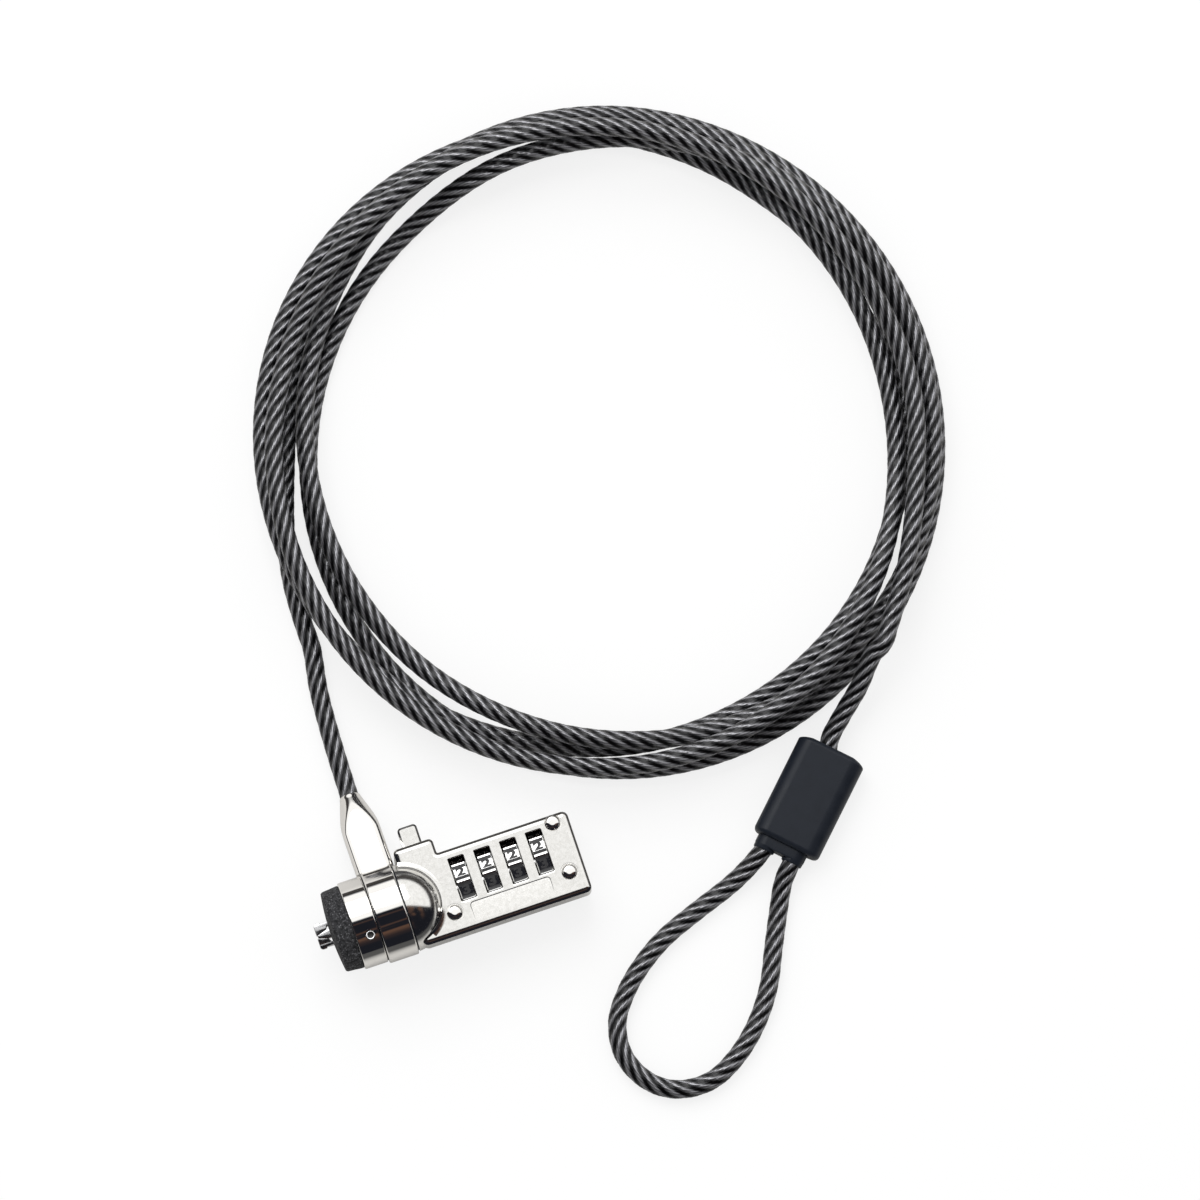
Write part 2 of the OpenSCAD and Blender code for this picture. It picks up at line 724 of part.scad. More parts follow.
// one bent leaf a wheel, standing in the lower corner of the chamber
module detent_springs() {
    wall_y = chamber_y[0] + 0.2;
    tip_r = wheel_r + wheel_round_gap;
    leaf = [[wall_y + 2.4, floor_t + detent_t / 2], [wall_y, floor_t + detent_t / 2],
        [wall_y, floor_t + 3.4], [wheel_y - tip_r * sin(50), wheel_z - tip_r * cos(50)]];
    color("goldenrod")
        at_wheels()
            translate([-wheel_w / 2 + side_gap, 0, 0])
                rotate([90, 0, 90])
                    linear_extrude(wheel_w - 2 * side_gap)
                        for (i = [0 : len(leaf) - 2])
                            let (d = leaf[i + 1] - leaf[i])
                            translate(leaf[i])
                                rotate(atan2(d.y, d.x)) {
                                    translate([0, -detent_t / 2])
                                        square([norm(d), detent_t]);
                                    circle(d = detent_t);
                                }
}

module button_pin_shape(r) {
    translate([(button_x0 + button_x1) / 2, button_pin_y, button_pin_z[0]])
        cylinder(h = button_pin_z[1] - button_pin_z[0], r = r);
}
module button_pin() {
    color("gray")
        button_pin_shape(button_pin_r);
}

module spindle_spring() {
    steps = 8 * spring_turns;
    color("gray")
        tube([for (i = [0 : steps])
            [spring_x0 + (spring_x1 - spring_x0) * i / steps,
                wheel_y + spring_r * sin(45 * i), wheel_z + spring_r * cos(45 * i)]],
            spring_wire / 2, 6);
}

// ---- spigot ----

// side is 1 for the upper jaw and -1 for the lower
module hook_jaw(side) {
    inner = blade_half + blade_gap;
    eye_x = [jaw_pivot.x - 1.6, jaw_pivot.x + jaw_tail];
    eye_y = [jaw_pivot.y - jaw_eye_high, jaw_pivot.y + jaw_eye_high];
    outline = [[eye_x[1], eye_y[0]], [eye_x[1], eye_y[1]], [eye_x[0], eye_y[1]],
        [eye_x[0] - 1.2, jaw_back], [spigot_x0 + 1.4, jaw_back], [spigot_x0 + 1.4, jaw_lip],
        [spigot_x0 + 0.4, jaw_lip], [spigot_x0, jaw_lip - 0.4], [spigot_x0, jaw_tip_half],
        [spigot_x0 + blade_set, jaw_tip_half], [spigot_x0 + blade_set + wedge_l, inner],
        [spigot_x0 + 2.7, jaw_shank_high], [eye_x[0], jaw_shank_high],
        [eye_x[0] + 0.6, eye_y[0]]];
    difference() {
        translate([0, 0, barrel_z - jaw_half_t])
            linear_extrude(2 * jaw_half_t)
                polygon([for (p = outline) [p.x, side * p.y]]);
        translate([jaw_pivot.x, side * jaw_pivot.y, barrel_z - 2])
            cylinder(h = 4, r = jaw_pin_r + run_gap);
    }
}
module hook_jaw_upper() {
    color("gainsboro")
        hook_jaw(1);
}
module hook_jaw_lower() {
    color("gainsboro")
        hook_jaw(-1);
}

module blocking_pin() {
    tip = spigot_x0 + blade_set;
    color("lightgray") {
        translate([0, 0, barrel_z - rod_r])
            linear_extrude(2 * rod_r)
                polygon([[tip, -blade_tip_half], [tip + wedge_l, -blade_half],
                    [blade_x1, -blade_half], [blade_x1, blade_half],
                    [tip + wedge_l, blade_half], [tip, blade_tip_half]]);
        rod_x(blade_x1 - lap, plate_x0, rod_r);
        rod_x(plate_x0 - lap, plate_x1, rod_tail_r);
    }
}

module draw_plate() {
    color("silver")
        difference() {
            union() {
                box([plate_x0, plate_x1], [foot_low, plate_high], [foot_z[0], plate_top]);
                // the cam foot, whose slanted face the button pushes
                translate([0, 0, foot_z[0]])
                    linear_extrude(foot_z[1] - foot_z[0])
                        polygon([[plate_x1, foot_low], [plate_x1, foot_high],
                            [plate_x1 - (foot_high - foot_low), foot_low]]);
            }
            rod_x(plate_x0 - 1, plate_x1 + 1, rod_tail_r + press_gap);
        }
}

module spindle() {
    color("silver") {
        rod_x(plate_x1, shoulder_x, spindle_r, wheel_y, wheel_z);
        rod_x(shoulder_x - lap, spindle_end, tail_r, wheel_y, wheel_z);
        for (i = [0 : wheel_count - 1])
            let (x = first_wheel_x + (i - 1) * wheel_pitch + sleeve_w / 2 + 0.1)
            box([x, x + fin_t], [wheel_y - fin_w / 2, wheel_y + fin_w / 2],
                [wheel_z - fin_r, wheel_z]);
    }
}

module release_button() {
    slant = plate_x1 - foot_high - 0.4;     // its slanted face lies on y = x - slant
    pin_x = (button_x0 + button_x1) / 2;
    slot_half = button_pin_r + guide_gap;   // of the pin's slot
    color("gainsboro")
        difference() {
            translate([0, 0, button_z[0]])
                linear_extrude(button_z[1] - button_z[0]) {
                    polygon([[button_x0, button_x0 - slant], [button_x1, button_x1 - slant],
                        [button_x1, shoulder_high + button_out - button_corner_r],
                        [button_x0, shoulder_high + button_out - button_corner_r]]);
                    translate([button_x0 + button_corner_r, shoulder_high])
                        square([button_w - 2 * button_corner_r, button_out]);
                    for (x = [button_x0 + button_corner_r, button_x1 - button_corner_r])
                        translate([x, shoulder_high + button_out - button_corner_r])
                            circle(r = button_corner_r);
                }
            box([pin_x - slot_half, pin_x + slot_half],
                [button_pin_y - slot_half, button_pin_y + button_travel + slot_half],
                [button_z[0] - 1, button_z[1] + 1]);
        }
}

module reset_cam() {
    color("silver")
        difference() {
            union() {
                rod_x(cam_x0, cam_x0 + cam_flange_t, cam_flange_r, wheel_y, wheel_z);
                rod_x(cam_x0, cam_x1, cam_r, wheel_y, wheel_z);
            }
            rod_x(cam_x0 - 1, spindle_end + button_travel + 0.2, tail_r + 0.2, wheel_y, wheel_z);
            box([cam_x1 - slot_depth, cam_x1 + 1], [wheel_y - slot_w / 2, wheel_y + slot_w / 2],
                [wheel_z - 4, wheel_z + 4]);
        }
}

// ---- number wheels ----

module number_wheel(i) {
    color("whitesmoke")
        translate([first_wheel_x + (i - 1) * wheel_pitch, wheel_y, wheel_z])
            rotate([-ridge_angle, 0, 0])
                rotate([0, -90, 0])
                    difference() {
                        translate([0, 0, -wheel_w / 2])
                            cylinder(h = wheel_w, r = wheel_r, $fn = facets);
                        translate([0, 0, -wheel_w])
                            cylinder(h = 2 * wheel_w, r = wheel_bore_r);
                    }
}

module clutch_sleeve(i) {
    color("goldenrod")
        translate([first_wheel_x + (i - 1) * wheel_pitch, 0, 0])
            difference() {
                rod_x(-sleeve_w / 2, sleeve_w / 2, sleeve_r, wheel_y, wheel_z);
                rod_x(-sleeve_w, sleeve_w, spindle_r + run_gap, wheel_y, wheel_z);
                // the gate that lets the spindle's fin through
                box([-sleeve_w, sleeve_w], [wheel_y - fin_w / 2 - 0.15, wheel_y + fin_w / 2 + 0.15],
                    [wheel_z - fin_r - 0.1, wheel_z]);
            }
}

module number_wheel_1() { number_wheel(1); }
module number_wheel_2() { number_wheel(2); }
module number_wheel_3() { number_wheel(3); }
module number_wheel_4() { number_wheel(4); }
module clutch_sleeve_1() { clutch_sleeve(1); }
module clutch_sleeve_2() { clutch_sleeve(2); }
module clutch_sleeve_3() { clutch_sleeve(3); }
module clutch_sleeve_4() { clutch_sleeve(4); }

swivel_collar();
cable_ferrule();
cable_swage();
cable_lead();
cable_coil();
cable_tail();
cable_eye();
eye_sleeve();
eye_crimp();
front_barrel();
face_pad();
barrel_pin();
jaw_pins();
housing_body();
front_cover();
cover_rivets();
wheel_spacers();
detent_springs();
button_pin();
spindle_spring();
hook_jaw_upper();
hook_jaw_lower();
blocking_pin();
draw_plate();
spindle();
release_button();
reset_cam();
number_wheel_1();
number_wheel_2();
number_wheel_3();
number_wheel_4();
clutch_sleeve_1();
clutch_sleeve_2();
clutch_sleeve_3();
clutch_sleeve_4();
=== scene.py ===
import math

import bmesh
import bpy
from mathutils import Matrix, Vector, noise


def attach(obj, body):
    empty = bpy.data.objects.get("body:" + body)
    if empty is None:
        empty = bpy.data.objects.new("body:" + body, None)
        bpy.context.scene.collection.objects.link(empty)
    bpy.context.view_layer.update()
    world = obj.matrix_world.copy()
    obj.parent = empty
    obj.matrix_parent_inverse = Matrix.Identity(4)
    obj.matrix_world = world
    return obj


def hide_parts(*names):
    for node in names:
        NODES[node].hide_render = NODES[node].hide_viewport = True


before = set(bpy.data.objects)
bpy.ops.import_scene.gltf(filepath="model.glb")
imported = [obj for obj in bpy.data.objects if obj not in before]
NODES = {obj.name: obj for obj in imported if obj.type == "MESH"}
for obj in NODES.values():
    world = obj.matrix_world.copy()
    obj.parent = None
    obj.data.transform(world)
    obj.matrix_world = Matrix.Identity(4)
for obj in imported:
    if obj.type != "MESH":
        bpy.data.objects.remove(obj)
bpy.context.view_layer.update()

MM = 0.001

# ---- objects and meshes ----


def put(name, data):
    """A new object in the scene."""
    thing = bpy.data.objects.new(name, data)
    bpy.context.scene.collection.objects.link(thing)
    return thing


def finished(name, mesh):
    """The mesh of a shape whose working copy is done with."""
    data = bpy.data.meshes.new(name)
    mesh.to_mesh(data)
    mesh.free()
    return data


# ---- camera ----

# the way along the table that is up in the view
UPWARD = Vector((0.3190, 0.9478, 0.0))
TILT = math.radians(82)
AIM = Vector((37.7, 48.8, 11.1)) * MM
CAMERA_DISTANCE = 3.0
CAMERA_REACH = 20
FRAME_WIDTH = 0.252


def aimed(name, data, toward, distance):
    """Stands a camera or a lamp away from the piece, looking at it."""
    thing = put(name, data)
    thing.location = AIM + distance * toward
    thing.rotation_euler = (-toward).to_track_quat("-Z", "Y").to_euler()
    return thing


def set_camera():
    data = bpy.data.cameras.new("studio_camera")
    data.lens = data.sensor_width * CAMERA_DISTANCE / FRAME_WIDTH
    data.clip_end = CAMERA_REACH
    toward = -math.cos(TILT) * UPWARD + Vector((0, 0, math.sin(TILT)))
    bpy.context.scene.camera = aimed("studio_camera", data, toward, CAMERA_DISTANCE)


set_camera()

# ---- node helpers ----


def new_material(name):
    material = bpy.data.materials.new(name)
    material.use_nodes = True
    tree = material.node_tree
    tree.nodes.clear()
    output = tree.nodes.new("ShaderNodeOutputMaterial")
    shader = tree.nodes.new("ShaderNodeBsdfPrincipled")
    tree.links.new(shader.outputs[0], output.inputs[0])
    return material, tree, shader


def join(tree, source, target):
    """Links a socket, or sets a plain value."""
    if isinstance(source, bpy.types.NodeSocket):
        tree.links.new(source, target)
    else:
        target.default_value = source


def maths(tree, kind, a, b):
    node = tree.nodes.new("ShaderNodeMath")
    node.operation = kind
    join(tree, a, node.inputs[0])
    join(tree, b, node.inputs[1])
    return node.outputs[0]


def span(tree, value, low, high, to_low=0.0, to_high=1.0):
    """Brings a value smoothly from one range to another."""
    node = tree.nodes.new("ShaderNodeMapRange")
    node.interpolation_type = "SMOOTHSTEP"
    join(tree, value, node.inputs["Value"])
    node.inputs["From Min"].default_value = low
    node.inputs["From Max"].default_value = high
    node.inputs["To Min"].default_value = to_low
    node.inputs["To Max"].default_value = to_high
    return node.outputs["Result"]


def tint(tree, share, first, second):
    """A colour between two others."""
    node = tree.nodes.new("ShaderNodeMix")
    node.data_type = "RGBA"
    join(tree, share, node.inputs["Factor"])
    for index, colour in ((6, first), (7, second)):
        if not isinstance(colour, bpy.types.NodeSocket):
            colour = (*colour, 1.0)
        join(tree, colour, node.inputs[index])
    return node.outputs[2]


def grain(tree, place, scale, detail, roughness=0.5, stretch=None):
    """Noise over the piece; scale is in grains a millimetre."""
    if stretch is not None:
        mapping = tree.nodes.new("ShaderNodeMapping")
        join(tree, place, mapping.inputs["Vector"])
        mapping.inputs["Scale"].default_value = stretch
        place = mapping.outputs[0]
    node = tree.nodes.new("ShaderNodeTexNoise")
    join(tree, place, node.inputs["Vector"])
    node.inputs["Scale"].default_value = scale / MM
    node.inputs["Detail"].default_value = detail
    node.inputs["Roughness"].default_value = roughness
    return node.outputs["Fac"]


def own_place(tree):
    return tree.nodes.new("ShaderNodeTexCoord").outputs["Object"]


def relief(tree, height, depth_mm, strength):
    node = tree.nodes.new("ShaderNodeBump")
    node.inputs["Strength"].default_value = strength
    node.inputs["Distance"].default_value = depth_mm * MM
    join(tree, height, node.inputs["Height"])
    return node.outputs["Normal"]


def toward_top(tree, place):
    """How far a place or a ray lies towards the top of the view."""
    node = tree.nodes.new("ShaderNodeVectorMath")
    node.operation = "DOT_PRODUCT"
    join(tree, place, node.inputs[0])
    node.inputs[1].default_value = UPWARD
    return node.outputs["Value"]


# ---- finishes ----


def dress(tree, shader, colour, roughness, normal):
    """Joins a finish's colour, roughness and relief to its shader."""
    join(tree, colour, shader.inputs["Base Color"])
    join(tree, roughness, shader.inputs["Roughness"])
    join(tree, normal, shader.inputs["Normal"])


def bright_chrome():
    """Polished nickel-chrome plate with a faint haze and hairline marks."""
    material, tree, shader = new_material("bright_chrome")
    place = own_place(tree)
    haze = grain(tree, place, 0.25, 4)
    hairlines = grain(tree, place, 1.2, 5, 0.6, (0.15, 1, 1))
    shader.inputs["Metallic"].default_value = 1.0
    dress(tree, shader, tint(tree, haze, (0.84, 0.82, 0.79), (0.91, 0.895, 0.875)),
          span(tree, hairlines, 0.45, 0.75, 0.04, 0.10), relief(tree, haze, 0.012, 0.5))
    return material


def satin_silver():
    """Nickel plate over a cast surface: pale, finely mottled, softly shining."""
    material, tree, shader = new_material("satin_silver")
    place = own_place(tree)
    cloud = span(tree, grain(tree, place, 1.1, 5, 0.65), 0.35, 0.65)
    bead = grain(tree, place, 5.0, 2)
    shader.inputs["Metallic"].default_value = 1.0
    dress(tree, shader, tint(tree, cloud, (0.735, 0.725, 0.70), (0.82, 0.81, 0.79)),
          span(tree, bead, 0.3, 0.7, 0.09, 0.15), relief(tree, bead, 0.012, 0.35))
    return material


def pad_foam():
    """Charcoal rubber foam, finely speckled, with open pores painted darker as shade."""
    material, tree, shader = new_material("pad_foam")
    place = own_place(tree)
    pores = grain(tree, place, 1.5, 4, 0.7)
    speck = span(tree, grain(tree, place, 2.8, 3, 0.6), 0.53, 0.72)
    # the pores, where the skin is lowest, are painted near black as shade
    ground_with_painted_pore_shade = tint(tree, span(tree, pores, 0.35, 0.65), (0.006, 0.0065, 0.0075),
                  (0.040, 0.040, 0.044))
    shader.inputs["Specular IOR Level"].default_value = 0.35
    dress(tree, shader, tint(tree, speck, ground_with_painted_pore_shade, (0.19, 0.19, 0.20)), 0.82,
          relief(tree, pores, 0.16, 0.9))
    return material


WIRE_LEAN = 0.20
WIRES_A_STRAND = 4.0


def laid_strands():
    """Laid steel strands seen through a thin clear smoked vinyl cover. The
    map holds the strand across (u, six to a turn) and the length in mm (v)."""
    material, tree, shader = new_material("laid_strands")
    lay = tree.nodes.new("ShaderNodeUVMap")
    lay.uv_map = "lay"
    parts = tree.nodes.new("ShaderNodeSeparateXYZ")
    join(tree, lay.outputs[0], parts.inputs[0])
    across, along = parts.outputs[0], parts.outputs[1]
    # the steel is painted near black in the grooves between strands as shade, and lighter towards
    # each crown as light
    crown = span(tree, maths(tree, "PINGPONG", across, 0.5), 0.13, 0.46)
    leaning = maths(tree, "ADD", across, maths(tree, "MULTIPLY", along, WIRE_LEAN))
    wire = maths(tree, "PINGPONG", maths(tree, "MULTIPLY", leaning, WIRES_A_STRAND), 0.5)
    wire = span(tree, wire, 0.05, 0.45)
    worn = grain(tree, own_place(tree), 0.5, 3)
    painted_crown_light_and_wear = maths(tree, "MULTIPLY", crown, span(tree, worn, 0.25, 0.75, 0.75, 1.0))
    steel = tint(tree, painted_crown_light_and_wear, (0.003, 0.003, 0.004), (0.215, 0.215, 0.23))
    # painted highlights along the wires of each strand
    painted_wire_highlights = maths(tree, "MULTIPLY", maths(tree, "MULTIPLY", wire, crown), 0.6)
    height = maths(tree, "ADD", crown, maths(tree, "MULTIPLY", wire, 0.16))
    shader.inputs["Metallic"].default_value = 0.7
    shader.inputs["Coat Weight"].default_value = 0.35
    shader.inputs["Coat Roughness"].default_value = 0.22
    shader.inputs["Coat IOR"].default_value = 1.5
    dress(tree, shader, tint(tree, painted_wire_highlights, steel, (0.50, 0.50, 0.53)),
          span(tree, worn, 0.3, 0.7, 0.30, 0.40), relief(tree, height, 0.30, 0.8))
    return material


def sleeve_vinyl():
    """Smooth moulded vinyl, blue-black, with a soft sheen."""
    material, tree, shader = new_material("sleeve_vinyl")
    place = own_place(tree)
    cloud = grain(tree, place, 0.3, 4, 0.6)
    bead = grain(tree, place, 4.0, 2)
    shader.inputs["Specular IOR Level"].default_value = 0.20
    dress(tree, shader, tint(tree, cloud, (0.0085, 0.0110, 0.0165), (0.0150, 0.0190, 0.0280)),
          span(tree, cloud, 0.3, 0.7, 0.34, 0.44), relief(tree, bead, 0.02, 0.5))
    return material


def number_ink():
    """Dark grey enamel in the numbers; the same dark is painted shade beside the ribs and in the
    pin's bore.
    """
    material, tree, shader = new_material("number_ink")
    cloud = grain(tree, own_place(tree), 2.0, 3, 0.6)
    colour = tint(tree, cloud, (0.026, 0.026, 0.028), (0.046, 0.046, 0.049))
    join(tree, colour, shader.inputs["Base Color"])
    join(tree, span(tree, cloud, 0.3, 0.7, 0.45, 0.6), shader.inputs["Roughness"])
    return material


def rubbed_metal(name, marks, dark, light, roughness, depth_mm):
    """A metal whose colour, polish and skin follow the same marks: their
    scale, detail and roughness, and how they are stretched."""
    material, tree, shader = new_material(name)
    rubbed = grain(tree, own_place(tree), *marks)
    shader.inputs["Metallic"].default_value = 1.0
    dress(tree, shader, tint(tree, rubbed, dark, light), span(tree, rubbed, 0.3, 0.7, *roughness),
          relief(tree, rubbed, depth_mm, 0.5))
    return material


def wheel_plate():
    """Mirror-bright plate on the number wheels."""
    return rubbed_metal("wheel_plate", (0.6, 4, 0.6), (0.80, 0.80, 0.79),
                        (0.88, 0.88, 0.87), (0.11, 0.16), 0.02)


def plain_steel():
    """Turned steel of the works."""
    return rubbed_metal("plain_steel", (2.0, 4, 0.6, (1, 0.2, 0.2)), (0.55, 0.55, 0.56),
                        (0.68, 0.68, 0.69), (0.12, 0.26), 0.01)


def dark_nickel():
    """Black nickel plate on the spigot's jaws and pin."""
    return rubbed_metal("dark_nickel", (1.6, 4, 0.6), (0.42, 0.42, 0.43),
                        (0.60, 0.60, 0.61), (0.14, 0.26), 0.015)


def spring_brass():
    """Rolled brass of the leaves and clutch sleeves."""
    return rubbed_metal("spring_brass", (1.5, 4, 0.6, (0.2, 1, 1)), (0.66, 0.46, 0.19),
                        (0.80, 0.61, 0.30), (0.2, 0.38), 0.01)


FINISH = {
    "chrome": bright_chrome(),
    "satin": satin_silver(),
    "foam": pad_foam(),
    "strands": laid_strands(),
    "vinyl": sleeve_vinyl(),
    "wheel": wheel_plate(),
    "ink_and_painted_shade": number_ink(),
    "steel": plain_steel(),
    "nickel": dark_nickel(),
    "brass": spring_brass(),
}

# ---- studio ----

TABLE_HALF = 3.0
TABLE_PALE = (0.70, 0.69, 0.67)
# the table's near side as mirrors see it: painted dark, a painted reflection
TABLE_NEAR_PAINTED_DARK = (0.10, 0.10, 0.10)
TABLE_SHOWN = (0.22, 0.22, 0.22)
SHOWN_GLOW = 0.79
MIRRORED_GLOW = 0.05

# where the painted dark reflection on the table's near side ends, in metres towards the top of the
# view; only mirrors see it
PAINTED_DARK_EDGE = (-0.075, -0.03)

WALL_WHITE = (1.12, 1.12, 1.11)
ROOM_DARK = (0.012, 0.013, 0.018)
ROOM_BROWN = (0.16, 0.085, 0.055)
ROOM_PATCH = 2.6
DUSK_GREY = (0.065, 0.06, 0.057)
EVEN_LIGHT = (0.62, 0.62, 0.62)
WHITE = (1.0, 1.0, 1.0)

LAMP_WAY = UPWARD * 0.62 + Vector((-0.25, 0.0, 0.9))
LAMP_POWER = 7.0
LAMP_SIZE = 0.9
LAMP_DISTANCE = 1.2


def table_white():
    """Pale, and white in the view where nothing shades it. Its near side is
    painted dark for mirrors alone, a painted reflection."""
    material = bpy.data.materials.new("table_white")
    material.use_nodes = True
    tree = material.node_tree
    tree.nodes.clear()
    output = tree.nodes.new("ShaderNodeOutputMaterial")
    rays = tree.nodes.new("ShaderNodeLightPath")
    seen = rays.outputs["Is Camera Ray"]
    mirrored = maths(tree, "MAXIMUM", rays.outputs["Is Glossy Ray"],
                     rays.outputs["Is Transmission Ray"])
    # mirrors see the near side painted dark, and without the glow
    beyond = span(tree, toward_top(tree, own_place(tree)), *PAINTED_DARK_EDGE)
    pale = tint(tree, mirrored, TABLE_PALE, tint(tree, beyond, TABLE_NEAR_PAINTED_DARK, TABLE_PALE))
    matt = tree.nodes.new("ShaderNodeBsdfDiffuse")
    join(tree, tint(tree, seen, pale, TABLE_SHOWN), matt.inputs["Color"])
    glow = tree.nodes.new("ShaderNodeEmission")
    in_mirrors = maths(tree, "MULTIPLY", maths(tree, "MULTIPLY", mirrored, beyond), MIRRORED_GLOW)
    in_view = maths(tree, "MULTIPLY", seen, SHOWN_GLOW)
    join(tree, maths(tree, "ADD", in_view, in_mirrors), glow.inputs["Strength"])
    both = tree.nodes.new("ShaderNodeAddShader")
    tree.links.new(matt.outputs[0], both.inputs[0])
    tree.links.new(glow.outputs[0], both.inputs[1])
    tree.links.new(both.outputs[0], output.inputs[0])
    return material


def studio_floor():
    mesh = bmesh.new()
    bmesh.ops.create_grid(mesh, x_segments=2, y_segments=2, size=TABLE_HALF)
    floor = put("floor", finished("floor", mesh))
    floor.data.materials.append(table_white())


def studio_room():
    """A big soft white wall of light beyond the piece, a dim room behind the
    camera, warm in patches overhead, and a dusky band along the horizon."""
    world = bpy.data.worlds.new("studio")
    bpy.context.scene.world = world
    world.use_nodes = True
    tree = world.node_tree
    tree.nodes.clear()
    output = tree.nodes.new("ShaderNodeOutputWorld")
    back = tree.nodes.new("ShaderNodeBackground")
    tree.links.new(back.outputs[0], output.inputs[0])
    ray = tree.nodes.new("ShaderNodeTexCoord").outputs["Generated"]
    lean = toward_top(tree, ray)
    parts = tree.nodes.new("ShaderNodeSeparateXYZ")
    join(tree, ray, parts.inputs[0])
    height = parts.outputs[2]
    wall = maths(tree, "MULTIPLY", span(tree, lean, 0.02, 0.09), span(tree, height, 0.18, 0.30))
    patches = tree.nodes.new("ShaderNodeTexNoise")
    join(tree, ray, patches.inputs["Vector"])
    patches.inputs["Scale"].default_value = ROOM_PATCH
    patches.inputs["Detail"].default_value = 2.0
    warm = maths(tree, "MULTIPLY", span(tree, patches.outputs["Fac"], 0.50, 0.68),
                 span(tree, height, 0.35, 0.85))
    dusk = maths(tree, "MULTIPLY", span(tree, height, 0.30, 0.05), span(tree, lean, -0.1, 0.3))
    dim = tint(tree, dusk, tint(tree, warm, ROOM_DARK, ROOM_BROWN), DUSK_GREY)
    mirrored = tint(tree, wall, dim, WALL_WHITE)
    rays = tree.nodes.new("ShaderNodeLightPath")
    even = tint(tree, rays.outputs["Is Diffuse Ray"], mirrored, EVEN_LIGHT)
    join(tree, tint(tree, rays.outputs["Is Camera Ray"], even, WHITE), back.inputs["Color"])


def key_lamp():
    """One large soft lamp, high on the far left."""
    data = bpy.data.lights.new("key_lamp", "AREA")
    data.shape = "SQUARE"
    data.size = LAMP_SIZE
    data.energy = LAMP_POWER
    aimed("key_lamp", data, LAMP_WAY.normalized(), LAMP_DISTANCE)


studio_floor()
studio_room()
key_lamp()
bpy.context.scene.view_settings.view_transform = "Standard"

# ---- the cable: swage, lead, coil, tail and eye in one length ----

CABLE_D = 4.0
CABLE_R = CABLE_D / 2
BARREL_Z = 11.1
COLLAR_MID = -25.15
DROOP = math.radians(18)

# the coil: its middle, where its turns are counted from, and the turn in
# degrees at which it starts and ends
COIL_AT = (48.4, 81.7)
COIL_ZERO = 71.4
COIL_FROM = 240
COIL_TO = 1920
LAYER_RISE = 4.5

# (turn in degrees, radius), and (turn in degrees, layers above the table)
REVERSALS = ((225, 74.5), (272, 65.75), (370, 70.5), (490, 71.5), (660, 60.25),
             (815, 70.5), (955, 60.5), (1095, 69), (1190, 64), (1225, 64), (1365, 71),
             (1510, 62), (1615, 70), (1850, 65), (1890, 67), (1950, 77))
LAYERS = ((225, 0), (675, 0), (705, 2), (765, 2), (795, 1), (870, 1), (900, 1.8),
          (915, 1.8), (945, 1), (1020, 1), (1035, 2), (1065, 2), (1095, 1), (1125, 1),
          (1155, 0), (1245, 0), (1275, 1), (1425, 1), (1455, 0), (1470, 0), (1485, 1),
          (1530, 1), (1560, 2), (1725, 2), (1755, 3), (1845, 3), (1875, 2), (1950, 2))

# the sleeve of the eye, whose mouth is at its low end
SLEEVE_AT = Vector((66.0, -4.3, 3.9))
SLEEVE_TURN = math.radians(45)
SLEEVE_U = (-11.0, 12.2)
SLEEVE_HALF_W = 7.5
SLEEVE_HALF_T = 3.75
SLEEVE_EDGE = 3.0
MOUTH_R = 2.4
NECK_SIDES = 32

# the tail and the stub side by side in the sleeve, as (u, v) from the coil's
# end to the eye's
LEG_OUT = -13.5
MOUTH_V = (-2.75, 3.7)
TAIL_LEG = ((13, 1.5), (4, -2.1), (-4, -2.1), (LEG_OUT, MOUTH_V[0]))
STUB_LEG = ((11, 4.95), (4, 2.1), (-4, 2.1), (LEG_OUT, MOUTH_V[1]))

FERRULE_TIP = 28.4
FERRULE_BACK = 8.8
FERRULE_HALF_W = 4.1
FERRULE_HALF_T = 3.4
FERRULE_R = 4.9
FERRULE_LIP_R = 2.35
TAPER_START = 19.2
TAPER_END = FERRULE_TIP - 0.6
FERRULE_SIDES = 96

STRANDS = 6
LAY_LENGTH = 21.0
SIDES_A_STRAND = 5
GROOVE_DEPTH = 0.07
ROUTE_STEP = 1.0


def value_at(knots, angle):
    """The value eased between knots of (angle, value)."""
    for (a0, v0), (a1, v1) in zip(knots, knots[1:]):
        if angle <= a1:
            break
    share = (1 - math.cos(math.pi * (angle - a0) / (a1 - a0))) / 2
    return v0 + (v1 - v0) * share


def coil_point(angle):
    turn = math.radians(COIL_ZERO - angle)
    radius = value_at(REVERSALS, angle)
    return Vector((COIL_AT[0] + radius * math.cos(turn), COIL_AT[1] + radius * math.sin(turn),
                   CABLE_R + LAYER_RISE * value_at(LAYERS, angle)))


def droop(distance):
    """A place on the ferrule's axis."""
    return Vector((COLLAR_MID, distance * math.cos(DROOP), BARREL_Z - distance * math.sin(DROOP)))


def sleeve_point(u, v, w=0.0):
    """A place in the eye's sleeve: u along it towards the coil, v across it, w up."""
    return SLEEVE_AT + Vector((u * math.cos(SLEEVE_TURN) - v * math.sin(SLEEVE_TURN),
                               u * math.sin(SLEEVE_TURN) + v * math.cos(SLEEVE_TURN), w))


